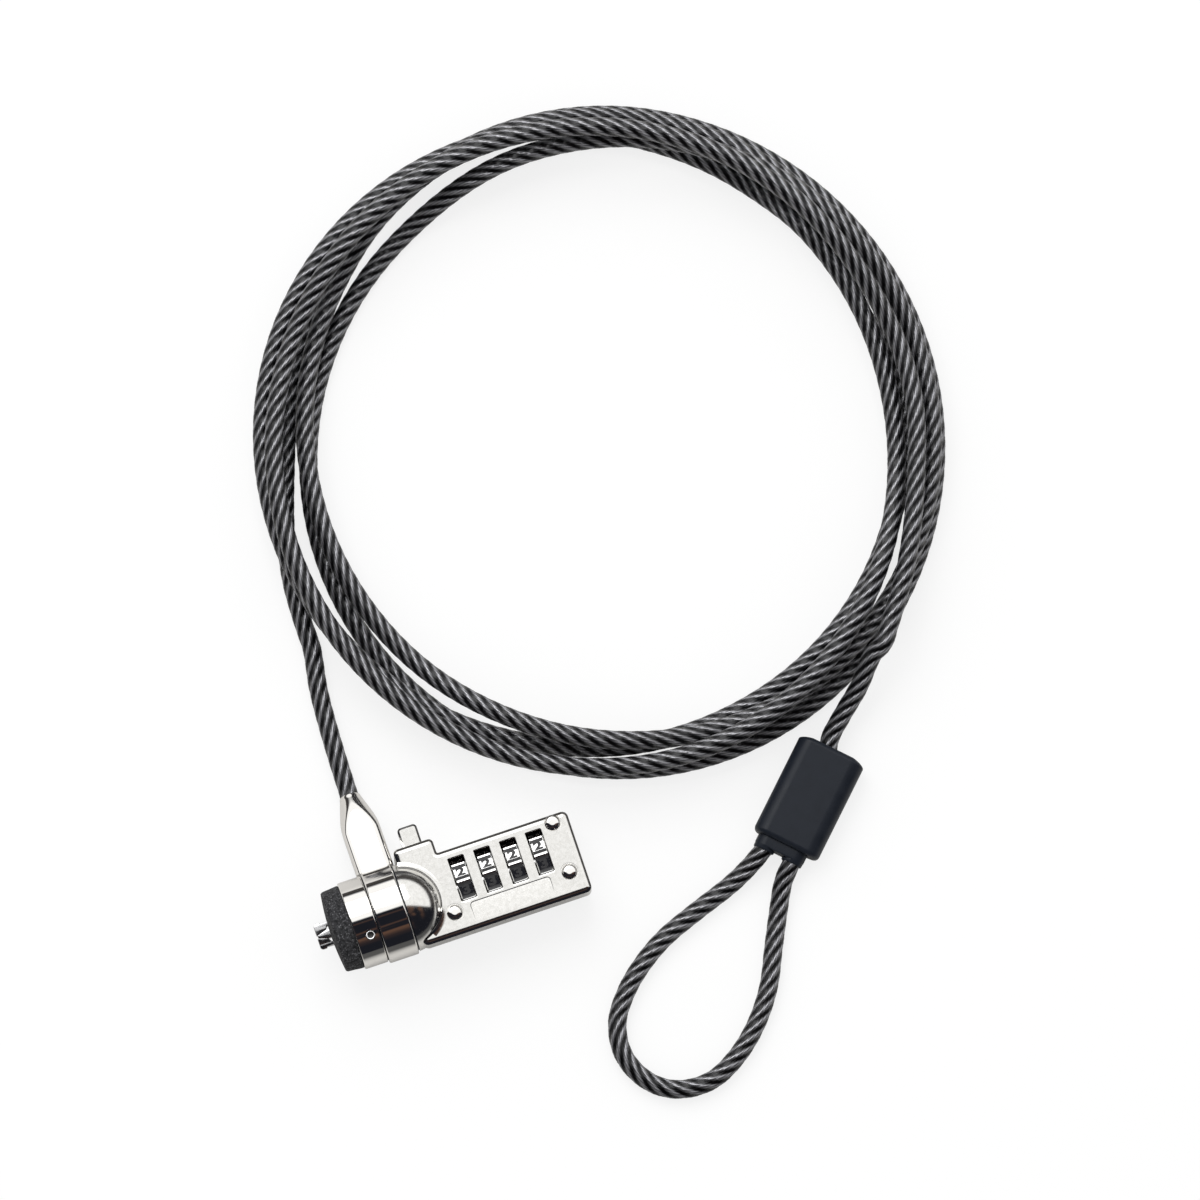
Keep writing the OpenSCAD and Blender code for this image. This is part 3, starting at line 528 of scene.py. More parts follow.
def cable_route():
    start = coil_point(COIL_FROM)
    end = coil_point(COIL_TO)
    start_way = (coil_point(COIL_FROM + 1) - start).normalized()
    end_way = (end - coil_point(COIL_TO - 1)).normalized()
    lead = [droop(17), droop(22), droop(FERRULE_TIP), (-25.1, 29, 2.1), (-25, 35, 2),
            (-24.7, 43, 2), (-24.1, 51, 2), start - 2 * CABLE_D * start_way,
            start - CABLE_D * start_way]
    coil = [coil_point(turn) for turn in range(COIL_FROM, COIL_TO + 1, 5)]
    tail = [end + CABLE_D * end_way, end + 2 * CABLE_D * end_way, (88.3, 19.7, 9.7),
            (83.5, 14.5, 7.2), (78.2, 10, 5), sleeve_point(*TAIL_LEG[0]),
            sleeve_point(*TAIL_LEG[1]), sleeve_point(0, TAIL_LEG[1][1]),
            sleeve_point(*TAIL_LEG[2]), sleeve_point(*TAIL_LEG[3])]
    eye = [(55.5, -19, 2.8), (52.7, -24.2, 2), (49.2, -31.3, 2), (45.4, -39.1, 2),
           (40.3, -45.8, 2), (34.1, -51, 2), (27.5, -53.9, 2), (20.3, -53.3, 2),
           (15, -49.5, 2), (12.1, -43, 2), (13, -36, 2), (16.9, -30.4, 2), (21.9, -26, 2),
           (28.1, -22.2, 2), (36, -19.1, 2), (44.5, -16.1, 2), (49.5, -13.8, 2.8)]
    stub = [sleeve_point(*spot) for spot in STUB_LEG[::-1]]
    return [Vector(spot) for spot in lead + coil + tail + eye + stub]


def rounded_route(points, step):
    """One smooth line through the points, with a point about every step."""
    dense = []
    for i in range(len(points) - 1):
        before = points[max(i - 1, 0)]
        p, q = points[i], points[i + 1]
        after = points[min(i + 2, len(points) - 1)]
        gap = max((q - p).length, 1e-6)
        leave = (q - before) * (gap / max((q - before).length, 1e-6))
        arrive = (after - p) * (gap / max((after - p).length, 1e-6))
        parts = max(int(gap / (step / 4)), 1)
        for k in range(parts):
            t = k / parts
            dense.append((2 * t ** 3 - 3 * t ** 2 + 1) * p + (t ** 3 - 2 * t ** 2 + t) * leave
                         + (3 * t ** 2 - 2 * t ** 3) * q + (t ** 3 - t ** 2) * arrive)
    dense.append(points[-1])
    lengths = [0.0]
    for a, b in zip(dense, dense[1:]):
        lengths.append(lengths[-1] + (b - a).length)
    total = lengths[-1]
    count = int(total / step)
    even, at = [], 0
    for i in range(count + 1):
        want = total * i / count
        while at < len(lengths) - 2 and lengths[at + 1] < want:
            at += 1
        share = (want - lengths[at]) / max(lengths[at + 1] - lengths[at], 1e-9)
        even.append(dense[at].lerp(dense[at + 1], share))
    return even, total


def cable_cover(route, total):
    """A tube along the route whose sides follow the laid strands under it."""
    sides = SIDES_A_STRAND * STRANDS
    mesh = bmesh.new()
    lay = mesh.loops.layers.uv.new("lay")
    rings = []
    spacing = total / (len(route) - 1)
    for i, centre in enumerate(route):
        way = (route[min(i + 1, len(route) - 1)] - route[max(i - 1, 0)]).normalized()
        side = Vector((0, 0, 1)).cross(way).normalized()
        up = way.cross(side)
        twist = 2 * math.pi * i * spacing / LAY_LENGTH
        ring = []
        for k in range(sides):
            turn = 2 * math.pi * k / sides + twist
            crown = abs(math.sin(math.pi * k / SIDES_A_STRAND)) ** 0.8
            radius = CABLE_R * (1 - GROOVE_DEPTH * (1 - crown))
            spot = centre + radius * (math.cos(turn) * side + math.sin(turn) * up)
            ring.append(mesh.verts.new(spot))
        rings.append(ring)
    for i, (near, far) in enumerate(zip(rings, rings[1:])):
        for k in range(sides):
            n = (k + 1) % sides
            face = mesh.faces.new((near[k], near[n], far[n], far[k]))
            corners = ((k, i), (k + 1, i), (k + 1, i + 1), (k, i + 1))
            for loop, (a, b) in zip(face.loops, corners):
                loop[lay].uv = (a / SIDES_A_STRAND, b * spacing)
    for ring in (rings[0][::-1], rings[-1]):
        for loop in mesh.faces.new(ring).loops:
            loop[lay].uv = (0.25, 0.0)
    return mesh


# ---- making pieces; all of them are shaped in millimetres ----


def move(mesh, x, y, z):
    bmesh.ops.translate(mesh, vec=(x, y, z), verts=mesh.verts)


def stretch(mesh, x, y, z):
    bmesh.ops.scale(mesh, vec=(x, y, z), verts=mesh.verts)


def swing(mesh, angle, axis):
    matrix = Matrix.Rotation(angle, 3, axis)
    bmesh.ops.rotate(mesh, cent=(0, 0, 0), matrix=matrix, verts=mesh.verts)


def place_piece(mesh, name, finish, body, stands_for=(), sharp=30.0, turned=True,
                even=False):
    """Brings a shape to metres, rounds its shading and lets it ride on its
    body. Edges that turn by more than sharp degrees stay creases."""
    bmesh.ops.remove_doubles(mesh, verts=mesh.verts, dist=1e-5)
    if turned:
        bmesh.ops.recalc_face_normals(mesh, faces=mesh.faces)
    for face in mesh.faces:
        face.smooth = True
    for edge in mesh.edges:
        edge.smooth = len(edge.link_faces) != 2 or edge.calc_face_angle(0) < math.radians(sharp)
    stretch(mesh, MM, MM, MM)
    piece = put(name, finished(name, mesh))
    piece.data.materials.append(FINISH[finish])
    if even:
        shading = piece.modifiers.new("even_shading", "WEIGHTED_NORMAL")
        shading.keep_sharp = True
    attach(piece, body)
    if stands_for:
        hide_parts(*stands_for)
    return piece


route, cable_length = rounded_route(cable_route(), ROUTE_STEP)
cable = place_piece(cable_cover(route, cable_length), "cable", "strands", "cable_assembly",
                    ("cable_lead", "cable_coil", "cable_tail", "cable_eye"),
                    60, turned=False)

# ---- the lock head's measures, in millimetres ----

# the box and its shoulder
HOUSING_FRONT = -21.6
BLOCK_X0 = -20.6
HOUSING_RIGHT = 16.6
HOUSING_LOW = -9.4
HOUSING_HIGH = 8.5
SHOULDER_HIGH = 11.9
SHOULDER_RIGHT = -11.9
FACE_Z = 15.5
SEAT_Z = 14.2
SLOPE_Z = 9.0
BACK_SLOPE = 1.2
CORNER_R = 1.3
SHOULDER_R = 1.0
HOLLOW_R = 0.35
SMALLEST_R = 0.08
SEAM = 0.06
BACK_ROUND = 0.4
CHAMBER_X = (-10.25, 10.45)

# the cover's edge: its slope in degrees, then the widths of its foot, slope
# and upper round
EDGE_SLOPE = 39.5
EDGE_FOOT_R = 0.2
EDGE_FLAT = 0.38
EDGE_FACE_R = 0.68

# the barrel, its collar, pin and pad
BARREL_R = 9.45
COLLAR_R = 9.9
NECK_R = 8.0
TENON_R = 6.0
TENON_END = -19.4
DOME_X = -22.3
FRONT_X = (-33.7, -28.6)
COLLAR_X = (-28.4, -21.9)
BARREL_STEPS = 144
COLLAR_STEPS = 160
WASHER_GAP = 0.03
PAD_X0 = -38.3
PAD_DOME = 0.7
PAD_R = 8.7
PAD_FLARE = 0.33
PAD_RIM = 0.4
PIN_AT = (-30.6, -4.0)

# the spigot: its faces' radius, where they are highest, its half thickness,
# its softened edges and how finely the faces are turned
SPIGOT_R = 10.0
SPIGOT_CREST = 1.4
SPIGOT_HALF_T = 1.4
SPIGOT_SOFT = 0.15
SPIGOT_STRIP = 0.25

# the number wheels: ribs, sunk fields, painted shade on the ribs' flanks, and numbers in enamel
WHEEL_Y = 0.5
WHEEL_Z = 8.7
WHEEL_PITCH = 5.7
FIRST_WHEEL_X = -8.55
WHEEL_R = 7.0
WHEEL_W = 3.0
WHEEL_BORE_R = 3.6
WHEEL_PLAY = 0.12
WHEEL_LIP = 0.14
WHEEL_ROOM = 0.25
RIB_R = 7.03
RIB_HALF = 0.34
RIB_TOP_HALF = 0.14
RIB_DROP = 0.14
FIELD_R = 6.5
FIELD_HALF = 1.25
# the painted shade on the ribs' flanks: how far it runs onto the field past each foot, and how far
# it stands proud
SHADE_PAINT_FOOT = 0.28
SHADE_PAINT_PROUD = 0.012
DIGIT_HIGH = 2.1
DIGIT_WIDER = 1.38
DIGIT_RAISED = 0.16
DIGIT_BOLD = 0.046
DIGIT_THICK = 0.008
RIDGE_ANGLE = 6.3

# the cover's windows, name panel and rivets
WINDOW_HALF_W = 1.67
WINDOW_Y = (-2.95, 6.4)
WINDOW_CORNER_R = 0.25
PANEL_X = (-8.7, 8.9)
PANEL_HIGH = -3.65
PANEL_DEPTH = 0.15
PANEL_RUN = 3.9
PANEL_PAST = 5
PANEL_CORNER_R = 0.8
RIVETS = ((-12.3, -4.6), (13.05, 6.8), (13.15, -4.1))
RIVET_R = 1.75

# profiles of (radius, z) turned about upright axes
DOME_OPENING = ((0, 13), (9.25, 13), (9.05, SEAT_Z), (8.6, 15.0), (8.5, FACE_Z + 1),
                (0, FACE_Z + 1))
RIVET_SEAT = ((0, 15.3), (RIVET_R + 0.12, 15.3), (RIVET_R + 0.3, FACE_Z + 1), (0, FACE_Z + 1))
RIVET_HEAD = ((0, 14.9), (1.6, 14.9), (1.68, 15.35), (1.63, 15.57), (1.5, 15.8), (1.32, 16.0),
              (1.12, 16.14), (0.92, 16.205), (0.55, 16.22), (0, 16.22))
PIN_HOLE = ((0, 14.9), (1.02, 14.9), (1.02, 19.4), (1.2, 21), (0, 21))
PIN_WALL = ((0.62, 14.9), (1.0, 14.9), (1.0, 19.5), (0.97, 19.6), (0.92, 19.63), (0.7, 19.63),
            (0.65, 19.6), (0.62, 19.5))
# a dark plug in the pin's bore, painted shade for the hole's depth
PIN_BORE_SHADE = ((0, 15.2), (0.61, 15.2), (0.61, 18.9), (0.3, 18.8), (0, 18.75))


def arc(x, y, radius, start, end, parts=8):
    """Points on an arc about x, y, from one angle to the other in degrees."""
    turns = [math.radians(start + (end - start) * i / parts) for i in range(parts + 1)]
    return [(x + radius * math.cos(t), y + radius * math.sin(t)) for t in turns]


def oblong(x0, x1, y0, y1, radius, parts=8):
    """The outline of a rounded oblong."""
    return (arc(x0 + radius, y0 + radius, radius, 180, 270, parts)
            + arc(x1 - radius, y0 + radius, radius, 270, 360, parts)
            + arc(x1 - radius, y1 - radius, radius, 0, 90, parts)
            + arc(x0 + radius, y1 - radius, radius, 90, 180, parts))


def full_turn(parts, shift=0.0):
    """The angles of even steps round a circle."""
    return [2 * math.pi * (k + shift) / parts for k in range(parts)]


def skin(rings, closed=True):
    """A closed shape through rings that have the same number of points."""
    mesh = bmesh.new()
    loops = [[mesh.verts.new(p) for p in ring] for ring in rings]
    pairs = list(zip(loops, loops[1:])) + ([] if closed else [(loops[-1], loops[0])])
    for near, far in pairs:
        for k in range(len(near)):
            n = (k + 1) % len(near)
            mesh.faces.new((near[k], near[n], far[n], far[k]))
    if closed:
        mesh.faces.new(loops[0][::-1])
        mesh.faces.new(loops[-1])
    return mesh


def lathe(profile, steps=128, y=0.0, z=BARREL_Z):
    """A shape turned about an axis along X from points (x, radius); a profile
    that ends on the axis is closed there, any other is a ring."""
    mesh = bmesh.new()
    last = [mesh.verts.new((x, 0.0, r)) for x, r in profile]
    edges = [mesh.edges.new(pair) for pair in zip(last, last[1:])]
    if profile[0][1] > 0:
        edges.append(mesh.edges.new((last[-1], last[0])))
    bmesh.ops.spin(mesh, geom=last + edges, cent=(0, 0, 0), axis=(1, 0, 0), dvec=(0, 0, 0),
                   angle=2 * math.pi, steps=steps, use_merge=True, use_duplicate=False)
    bmesh.ops.remove_doubles(mesh, verts=mesh.verts, dist=1e-4)
    move(mesh, 0, y, z)
    return mesh


def rod(x0, x1, radius, y=0.0, z=BARREL_Z, steps=64):
    return lathe([(x0, 0), (x0, radius), (x1, radius), (x1, 0)], steps, y, z)


def cuboid(x, y, z):
    mesh = bmesh.new()
    bmesh.ops.create_cube(mesh, size=1.0)
    stretch(mesh, x[1] - x[0], y[1] - y[0], z[1] - z[0])
    move(mesh, (x[0] + x[1]) / 2, (y[0] + y[1]) / 2, (z[0] + z[1]) / 2)
    return mesh


def soften(mesh, width, edges, segments):
    bmesh.ops.bevel(mesh, geom=list(edges), offset=width, offset_type="OFFSET",
                    segments=segments, profile=0.5, affect="EDGES", clamp_overlap=True,
                    material=-1)


def combine(mesh, *tools, kind="DIFFERENCE"):
    """Cuts tools out of a shape one after the other, or joins them to it."""
    for tool in tools:
        shapes = []
        for part in (mesh, tool):
            bmesh.ops.recalc_face_normals(part, faces=part.faces)
            shapes.append(put("workpiece", finished("workpiece", part)))
        cut = shapes[0].modifiers.new("cut", "BOOLEAN")
        cut.operation = kind
        cut.solver = "EXACT"
        cut.object = shapes[1]
        done = shapes[0].evaluated_get(bpy.context.evaluated_depsgraph_get())
        mesh = bmesh.new()
        mesh.from_mesh(done.to_mesh())
        for shape in shapes:
            bpy.data.meshes.remove(shape.data)
    return mesh


def blended(mesh_a, mesh_b):
    """Two shapes in one mesh, as they are."""
    data = finished("workpiece", mesh_b)
    mesh_a.from_mesh(data)
    bpy.data.meshes.remove(data)
    return mesh_a


def as_made(node):
    """A working copy of a piece as it was made, in millimetres."""
    mesh = bmesh.new()
    mesh.from_mesh(NODES[node].data)
    bmesh.ops.transform(mesh, matrix=Matrix.Scale(1 / MM, 4) @ NODES[node].matrix_world,
                        verts=mesh.verts)
    bmesh.ops.remove_doubles(mesh, verts=mesh.verts, dist=1e-4)
    bmesh.ops.dissolve_limit(mesh, angle_limit=math.radians(1), verts=mesh.verts,
                             edges=mesh.edges)
    return mesh


def steep_edges(mesh):
    """The edges of a shape that turn by more than 40 degrees."""
    return [e for e in mesh.edges if len(e.link_faces) == 2
            and e.calc_face_angle(0) > math.radians(40)]


# ---- housing ----


def head_outline(inset=0.0, low=HOUSING_LOW):
    """The outline of the box and its shoulder, drawn in by inset."""
    left, right, bottom = BLOCK_X0 + inset, HOUSING_RIGHT - inset, low + inset
    high, top, step = HOUSING_HIGH - inset, SHOULDER_HIGH - inset, SHOULDER_RIGHT - inset
    outer = max(CORNER_R - inset, SMALLEST_R)
    shoulder = max(SHOULDER_R - inset, SMALLEST_R)
    hollow = HOLLOW_R + inset
    return (arc(left + outer, bottom + outer, outer, 180, 270)
            + arc(right - outer, bottom + outer, outer, 270, 360)
            + arc(right - outer, high - outer, outer, 0, 90)
            + arc(step + hollow, high + hollow, hollow, 270, 180)
            + arc(step - shoulder, top - shoulder, shoulder, 0, 90)
            + arc(left + shoulder, top - shoulder, shoulder, 90, 180))


def head_ring(z, inset=0.0):
    low = HOUSING_LOW + BACK_SLOPE * max(1 - z / SLOPE_Z, 0)
    return [(x, y, z) for x, y in head_outline(inset, low)]


def rounding(radius, parts):
    """Pairs (rise, inset) up a quarter round that starts on the wall."""
    turns = [math.pi / 2 * i / parts for i in range(parts + 1)]
    return [(radius * math.sin(t), radius * (1 - math.cos(t))) for t in turns]


def housing_body():
    foot = [head_ring(BACK_ROUND - rise, inset) for rise, inset in rounding(BACK_ROUND, 4)]
    walls = [head_ring(SLOPE_Z - 0.4), head_ring(SLOPE_Z), head_ring(SLOPE_Z + 0.4),
             head_ring(SEAT_Z - SEAM), head_ring(SEAT_Z, SEAM)]
    block = skin(foot[::-1] + walls)
    start = math.acos((HOUSING_FRONT - DOME_X) / BARREL_R)
    turns = [start * (1 - i / 30) for i in range(31)]
    rear = [(DOME_X + BARREL_R * math.cos(t), BARREL_R * math.sin(t)) for t in turns]
    block = combine(block, lathe([(HOUSING_FRONT, 0)] + rear, BARREL_STEPS), kind="UNION")
    tenon_bore = rod(HOUSING_FRONT - 1, TENON_END, TENON_R + 0.05)
    plate_room = cuboid((-19.5, -11.9), (-2.0, 2.8), (5.0, 13.2))
    stack_end = rod(-12.9, -9.25, 3.5, WHEEL_Y, WHEEL_Z)
    chamber = cuboid(CHAMBER_X, (-6.9, 7.9), (1.2, SEAT_Z + 1))
    cam_room = rod(CHAMBER_X[1] - 1, 14.75, 3.25, WHEEL_Y, WHEEL_Z)
    cam_hole = rod(13.9, HOUSING_RIGHT + 1, 2.61, WHEEL_Y, WHEEL_Z)
    button_guide = cuboid((-18.25, -13.85), (-3.9, SHOULDER_HIGH + 1), (4.8, 9.0))
    block = combine(block, tenon_bore, plate_room, stack_end, chamber, cam_room, cam_hole,
                    button_guide)
    place_piece(block, "housing_shell", "satin", "lock_head", ("housing_body",),
                35, even=True)


def upright(profile, at, steps):
    """A shape turned about an upright axis from points (radius, z)."""
    mesh = lathe([(z, r) for r, z in profile], steps, 0, 0)
    swing(mesh, math.radians(-90), "Y")
    move(mesh, *at, 0)
    return mesh


def plate_edge():
    """Pairs (rise, inset) up the edge of the face plate: a small round, a
    plain slope, and a large round into the face."""
    slope = math.radians(EDGE_SLOPE)
    pairs = []
    for i in range(4):
        turn = math.pi / 2 + (slope - math.pi / 2) * i / 3
        pairs.append((EDGE_FOOT_R * math.cos(turn), EDGE_FOOT_R * (1 - math.sin(turn))))
    rise = pairs[-1][0] + EDGE_FLAT * math.tan(slope)
    inset = pairs[-1][1] + EDGE_FLAT
    large = EDGE_FACE_R / math.sin(slope)
    for i in range(7):
        turn = slope * (1 - i / 6)
        pairs.append((rise + large * (math.cos(turn) - math.cos(slope)),
                      inset + large * (math.sin(slope) - math.sin(turn))))
    return pairs


def front_cover():
    edge = plate_edge()
    crown = [head_ring(FACE_Z - edge[-1][0] + rise, inset) for rise, inset in edge]
    plate = skin([head_ring(SEAT_Z, SEAM), head_ring(SEAT_Z + SEAM)] + crown)
    plate = combine(plate, upright(DOME_OPENING, (DOME_X, 0), BARREL_STEPS), name_panel(),
                    *(upright(RIVET_SEAT, at, 96) for at in RIVETS))
    half = WINDOW_HALF_W + 0.03
    for i in range(4):
        x = FIRST_WHEEL_X + i * WHEEL_PITCH
        room = rod(x - half, x + half, WHEEL_R + WHEEL_ROOM, WHEEL_Y, WHEEL_Z, 128)
        plate = combine(plate, window(x), room)
    place_piece(plate, "face_plate", "satin", "lock_head", ("front_cover",),
                35, even=True)


def window(x):
    """A window in the cover, with slightly rounded upper edges."""
    rings = []
    for z, grow in ((SEAT_Z - 1, 0.0), (FACE_Z - 0.25, 0.0), (FACE_Z - 0.07, 0.06),
                    (FACE_Z, 0.24), (FACE_Z + 1, 0.24)):
        half, r = WINDOW_HALF_W + grow, WINDOW_CORNER_R + grow
        low, high = WINDOW_Y[0] - grow, WINDOW_Y[1] + grow
        ring = oblong(x - half, x + half, low, high, r, 4)
        rings.append([(px, py, z) for px, py in ring])
    return skin(rings)


def name_panel():
    """The shallow bare panel. Its floor runs out short of the lower edge."""
    rings = []
    for z, grow in ((FACE_Z - PANEL_DEPTH, -0.08), (FACE_Z - 0.08, 0.0), (FACE_Z, 0.1),
                    (FACE_Z + 1, 0.1)):
        x0, x1, high = PANEL_X[0] - grow, PANEL_X[1] + grow, PANEL_HIGH + grow
        r, low = PANEL_CORNER_R + grow, PANEL_HIGH - PANEL_PAST
        ring = ([(x0, low), (x1, low)] + arc(x1 - r, high - r, r, 0, 90)
                + arc(x0 + r, high - r, r, 90, 180))
        rings.append([(px, py, z + PANEL_DEPTH * (high - py) / PANEL_RUN) for px, py in ring])
    return skin(rings)


def dome_fillet():
    """The hollow round where the face plate runs up the barrel's rear."""
    reach, rise, parts = 1.0, 0.62, 7
    foot = math.sqrt((BARREL_R + 0.04) ** 2 - (FACE_Z - BARREL_Z) ** 2)
    profile = [(foot + 0.05, FACE_Z - 0.35), (foot + reach - 0.05, FACE_Z - 0.35)]
    for i in range(parts + 1):
        share = i / parts
        z = FACE_Z + rise * share ** 2
        r = foot + reach * (1 - share) ** 1.35 - 0.33 * share
        limit = math.sqrt((BARREL_R + 0.03) ** 2 - (z - BARREL_Z) ** 2)
        profile.append((max(r, limit), z))
    rings = []
    for k in range(73):
        turn = math.radians(-60 + 138 * k / 72)
        rings.append([(DOME_X + r * math.cos(turn), r * math.sin(turn), z) for r, z in profile])
    place_piece(skin(rings), "dome_fillet", "satin", "lock_head",
                ("front_cover",), 35)


def cover_rivets():
    """Three pan heads, nearly flat on top, with strongly rounded rims."""
    heads = bmesh.new()
    for at in RIVETS:
        heads = blended(heads, upright(RIVET_HEAD, at, 64))
    place_piece(heads, "rivet_heads", "chrome", "lock_head",
                ("cover_rivets",), 50)


def release_button():
    """The square tab, whose outer edges slope like the plate's."""
    tab = as_made("release_button")
    outside = [e for e in steep_edges(tab) if max(v.co.y for v in e.verts) > SHOULDER_HIGH]
    steeper = 1 / math.tan(math.radians(EDGE_SLOPE))
    stretch(tab, 1, 1, steeper)
    soften(tab, 0.42, outside, 1)
    stretch(tab, 1, 1, 1 / steeper)
    place_piece(tab, "button_tab", "satin", "button", ("release_button",),
                35, even=True)


# ---- number wheels ----


def wheel_rim():
    """The rim's outline (y, z) about the wheel's axis: ribs with sloping
    shoulders, and sunk number fields between them. Six points for each rib."""
    low, foot = RIB_R - RIB_DROP, RIB_HALF + 0.12
    points = []
    for k in range(10):
        rib = math.radians(RIDGE_ANGLE + 36 * k)
        field = rib + math.radians(18)
        for out, along, turn in ((low, -foot, rib), (RIB_R, -RIB_TOP_HALF, rib),
                                 (RIB_R, RIB_TOP_HALF, rib), (low, foot, rib),
                                 (FIELD_R, -FIELD_HALF, field), (FIELD_R, FIELD_HALF, field)):
            points.append((out * math.sin(turn) + along * math.cos(turn),
                           out * math.cos(turn) - along * math.sin(turn)))
    return points


def number_wheel(index):
    x = FIRST_WHEEL_X + (index - 1) * WHEEL_PITCH + WHEEL_PLAY
    rim = wheel_rim()
    half, shoulder = WHEEL_W / 2, WHEEL_W / 2 - WHEEL_LIP
    small = [(1 - WHEEL_LIP / WHEEL_R) * Vector(spot) for spot in rim]
    bore = [WHEEL_BORE_R * Vector(spot).normalized() for spot in rim]
    rings = [[(x + at, WHEEL_Y + y, WHEEL_Z + z) for y, z in outline]
             for at, outline in ((-half, bore), (-half, small), (-shoulder, rim),
                                 (shoulder, rim), (half, small), (half, bore))]
    name = "number_wheel_%d" % index
    body = "wheel_%d" % index
    place_piece(skin(rings, closed=False), name + "_rim", "wheel", body,
                (name,), 20)
    # the numbers in enamel, and painted shade on the flanks of every rib
    numbers_and_painted_shade = bmesh.new()
    for k in range(10):
        field = math.radians(RIDGE_ANGLE + 18 - 36 * k)
        numbers_and_painted_shade = blended(numbers_and_painted_shade, digit_on_field((2 + k) % 10, x, field))
        numbers_and_painted_shade = blended(numbers_and_painted_shade, flank_paint(x, shoulder, rim, k))
    place_piece(numbers_and_painted_shade, name + "_numbers_and_painted_shade", "ink_and_painted_shade", body, (), 40)


def flank_paint(x, half, rim, k):
    """Dark paint on the two flanks of a rib and in the corners at their feet: painted shade."""
    painted_shade = bmesh.new()
    for first, way in ((6 * k + 3, 1), (6 * k, -1)):
        top, foot, past = (Vector(rim[(first + way * i) % len(rim)]) for i in range(3))
        strip = []
        for spot in (top, foot, foot + SHADE_PAINT_FOOT * (past - foot).normalized()):
            spot = spot * (1 + SHADE_PAINT_PROUD / spot.length)
            strip.append([painted_shade.verts.new((x + side * half, WHEEL_Y + spot.x, WHEEL_Z + spot.y))
                          for side in (-1, 1)])
        for a, b in zip(strip, strip[1:]):
            painted_shade.faces.new((a[0], a[1], b[1], b[0]))
    return painted_shade


def digit_on_field(digit, x, turn):
    """A bold number in enamel, standing a hair proud of its field."""
    curve = bpy.data.curves.new("digit", "FONT")
    curve.body = str(digit)
    curve.size = 1.0
    curve.extrude = DIGIT_THICK
    curve.offset = DIGIT_BOLD
    curve.resolution_u = 6
    text = put("digit", curve)
    shape = bmesh.new()
    done = text.evaluated_get(bpy.context.evaluated_depsgraph_get())
    shape.from_mesh(done.to_mesh())
    bpy.data.objects.remove(text)
    bpy.data.curves.remove(curve)
    xs = [v.co.x for v in shape.verts]
    ys = [v.co.y for v in shape.verts]
    size = DIGIT_HIGH / (max(ys) - min(ys))
    move(shape, -(min(xs) + max(xs)) / 2, -(min(ys) + max(ys)) / 2, 0)
    stretch(shape, size * DIGIT_WIDER, size, 1.0)
    move(shape, 0, DIGIT_RAISED, FIELD_R + 0.006)
    swing(shape, -turn, "X")
    move(shape, x, WHEEL_Y, WHEEL_Z)
    return shape


# ---- barrel, collar, ferrule and pad ----


def rounded_run(x0, x1, radius, edge):
    """Profile points of a drum from x0 to x1 whose two rims are rounded."""
    near = [(x0 + inset, radius - edge + rise) for rise, inset in rounding(edge, 5)]
    far = [(x1 - inset, radius - edge + rise) for rise, inset in rounding(edge, 5)][::-1]
    return near + far


def front_barrel():
    front, back = FRONT_X
    drum = lathe([(front, 0)] + rounded_run(front, back, BARREL_R, 0.28)
                 + [(back, NECK_R), (HOUSING_FRONT, NECK_R), (HOUSING_FRONT, TENON_R),
                    (TENON_END, TENON_R), (TENON_END, 0)], BARREL_STEPS)
    spigot_slot = cuboid((front - 1, -29.3), (-3.5, 3.5), (BARREL_Z - 1.5, BARREL_Z + 1.5))
    drum = combine(drum, spigot_slot, rod(-30, -18, 1.26), upright(PIN_HOLE, PIN_AT, 48))
    place_piece(drum, "barrel_front", "chrome", "lock_head",
                ("front_barrel",), even=True)


def swivel_collar():
    front, back = COLLAR_X
    bore = NECK_R + 0.06
    profile = [(front, bore)] + rounded_run(front, back, COLLAR_R, 0.35) + [(back, bore)]
    place_piece(lathe(profile, COLLAR_STEPS), "collar_ring", "chrome", "cable_assembly",
                ("swivel_collar",), even=True)


def swivel_washers():
    """Two thin black washers in the gaps at the ends of the collar."""
    inner, outer = NECK_R + 0.02, BARREL_R - 0.3
    washers = bmesh.new()
    for front, back in ((FRONT_X[1], COLLAR_X[0]), (COLLAR_X[1], HOUSING_FRONT)):
        front, back = front + WASHER_GAP, back - WASHER_GAP
        ring = lathe([(front, inner), (front, outer), (back, outer), (back, inner)])
        washers = blended(washers, ring)
    place_piece(washers, "swivel_washers", "vinyl", "lock_head")


def along_ferrule(mesh):
    """Brings a shape turned about X onto the ferrule's drooping axis."""
    swing(mesh, math.radians(90), "Z")
    swing(mesh, -DROOP, "X")
    move(mesh, COLLAR_MID, 0, BARREL_Z)
    return mesh


def ferrule_section(d, radius):
    """A flattened round, no further out than radius from the axis."""
    ring = []
    for turn in full_turn(FERRULE_SIDES, 0.5):
        wide = abs(math.cos(turn) / FERRULE_HALF_W)
        tall = abs(math.sin(turn) / FERRULE_HALF_T)
        flat = (wide ** 5 + tall ** 5) ** -0.2
        out = (flat ** -18 + radius ** -18) ** (-1 / 18)
        ring.append((d, out * math.cos(turn), out * math.sin(turn)))
    return ring


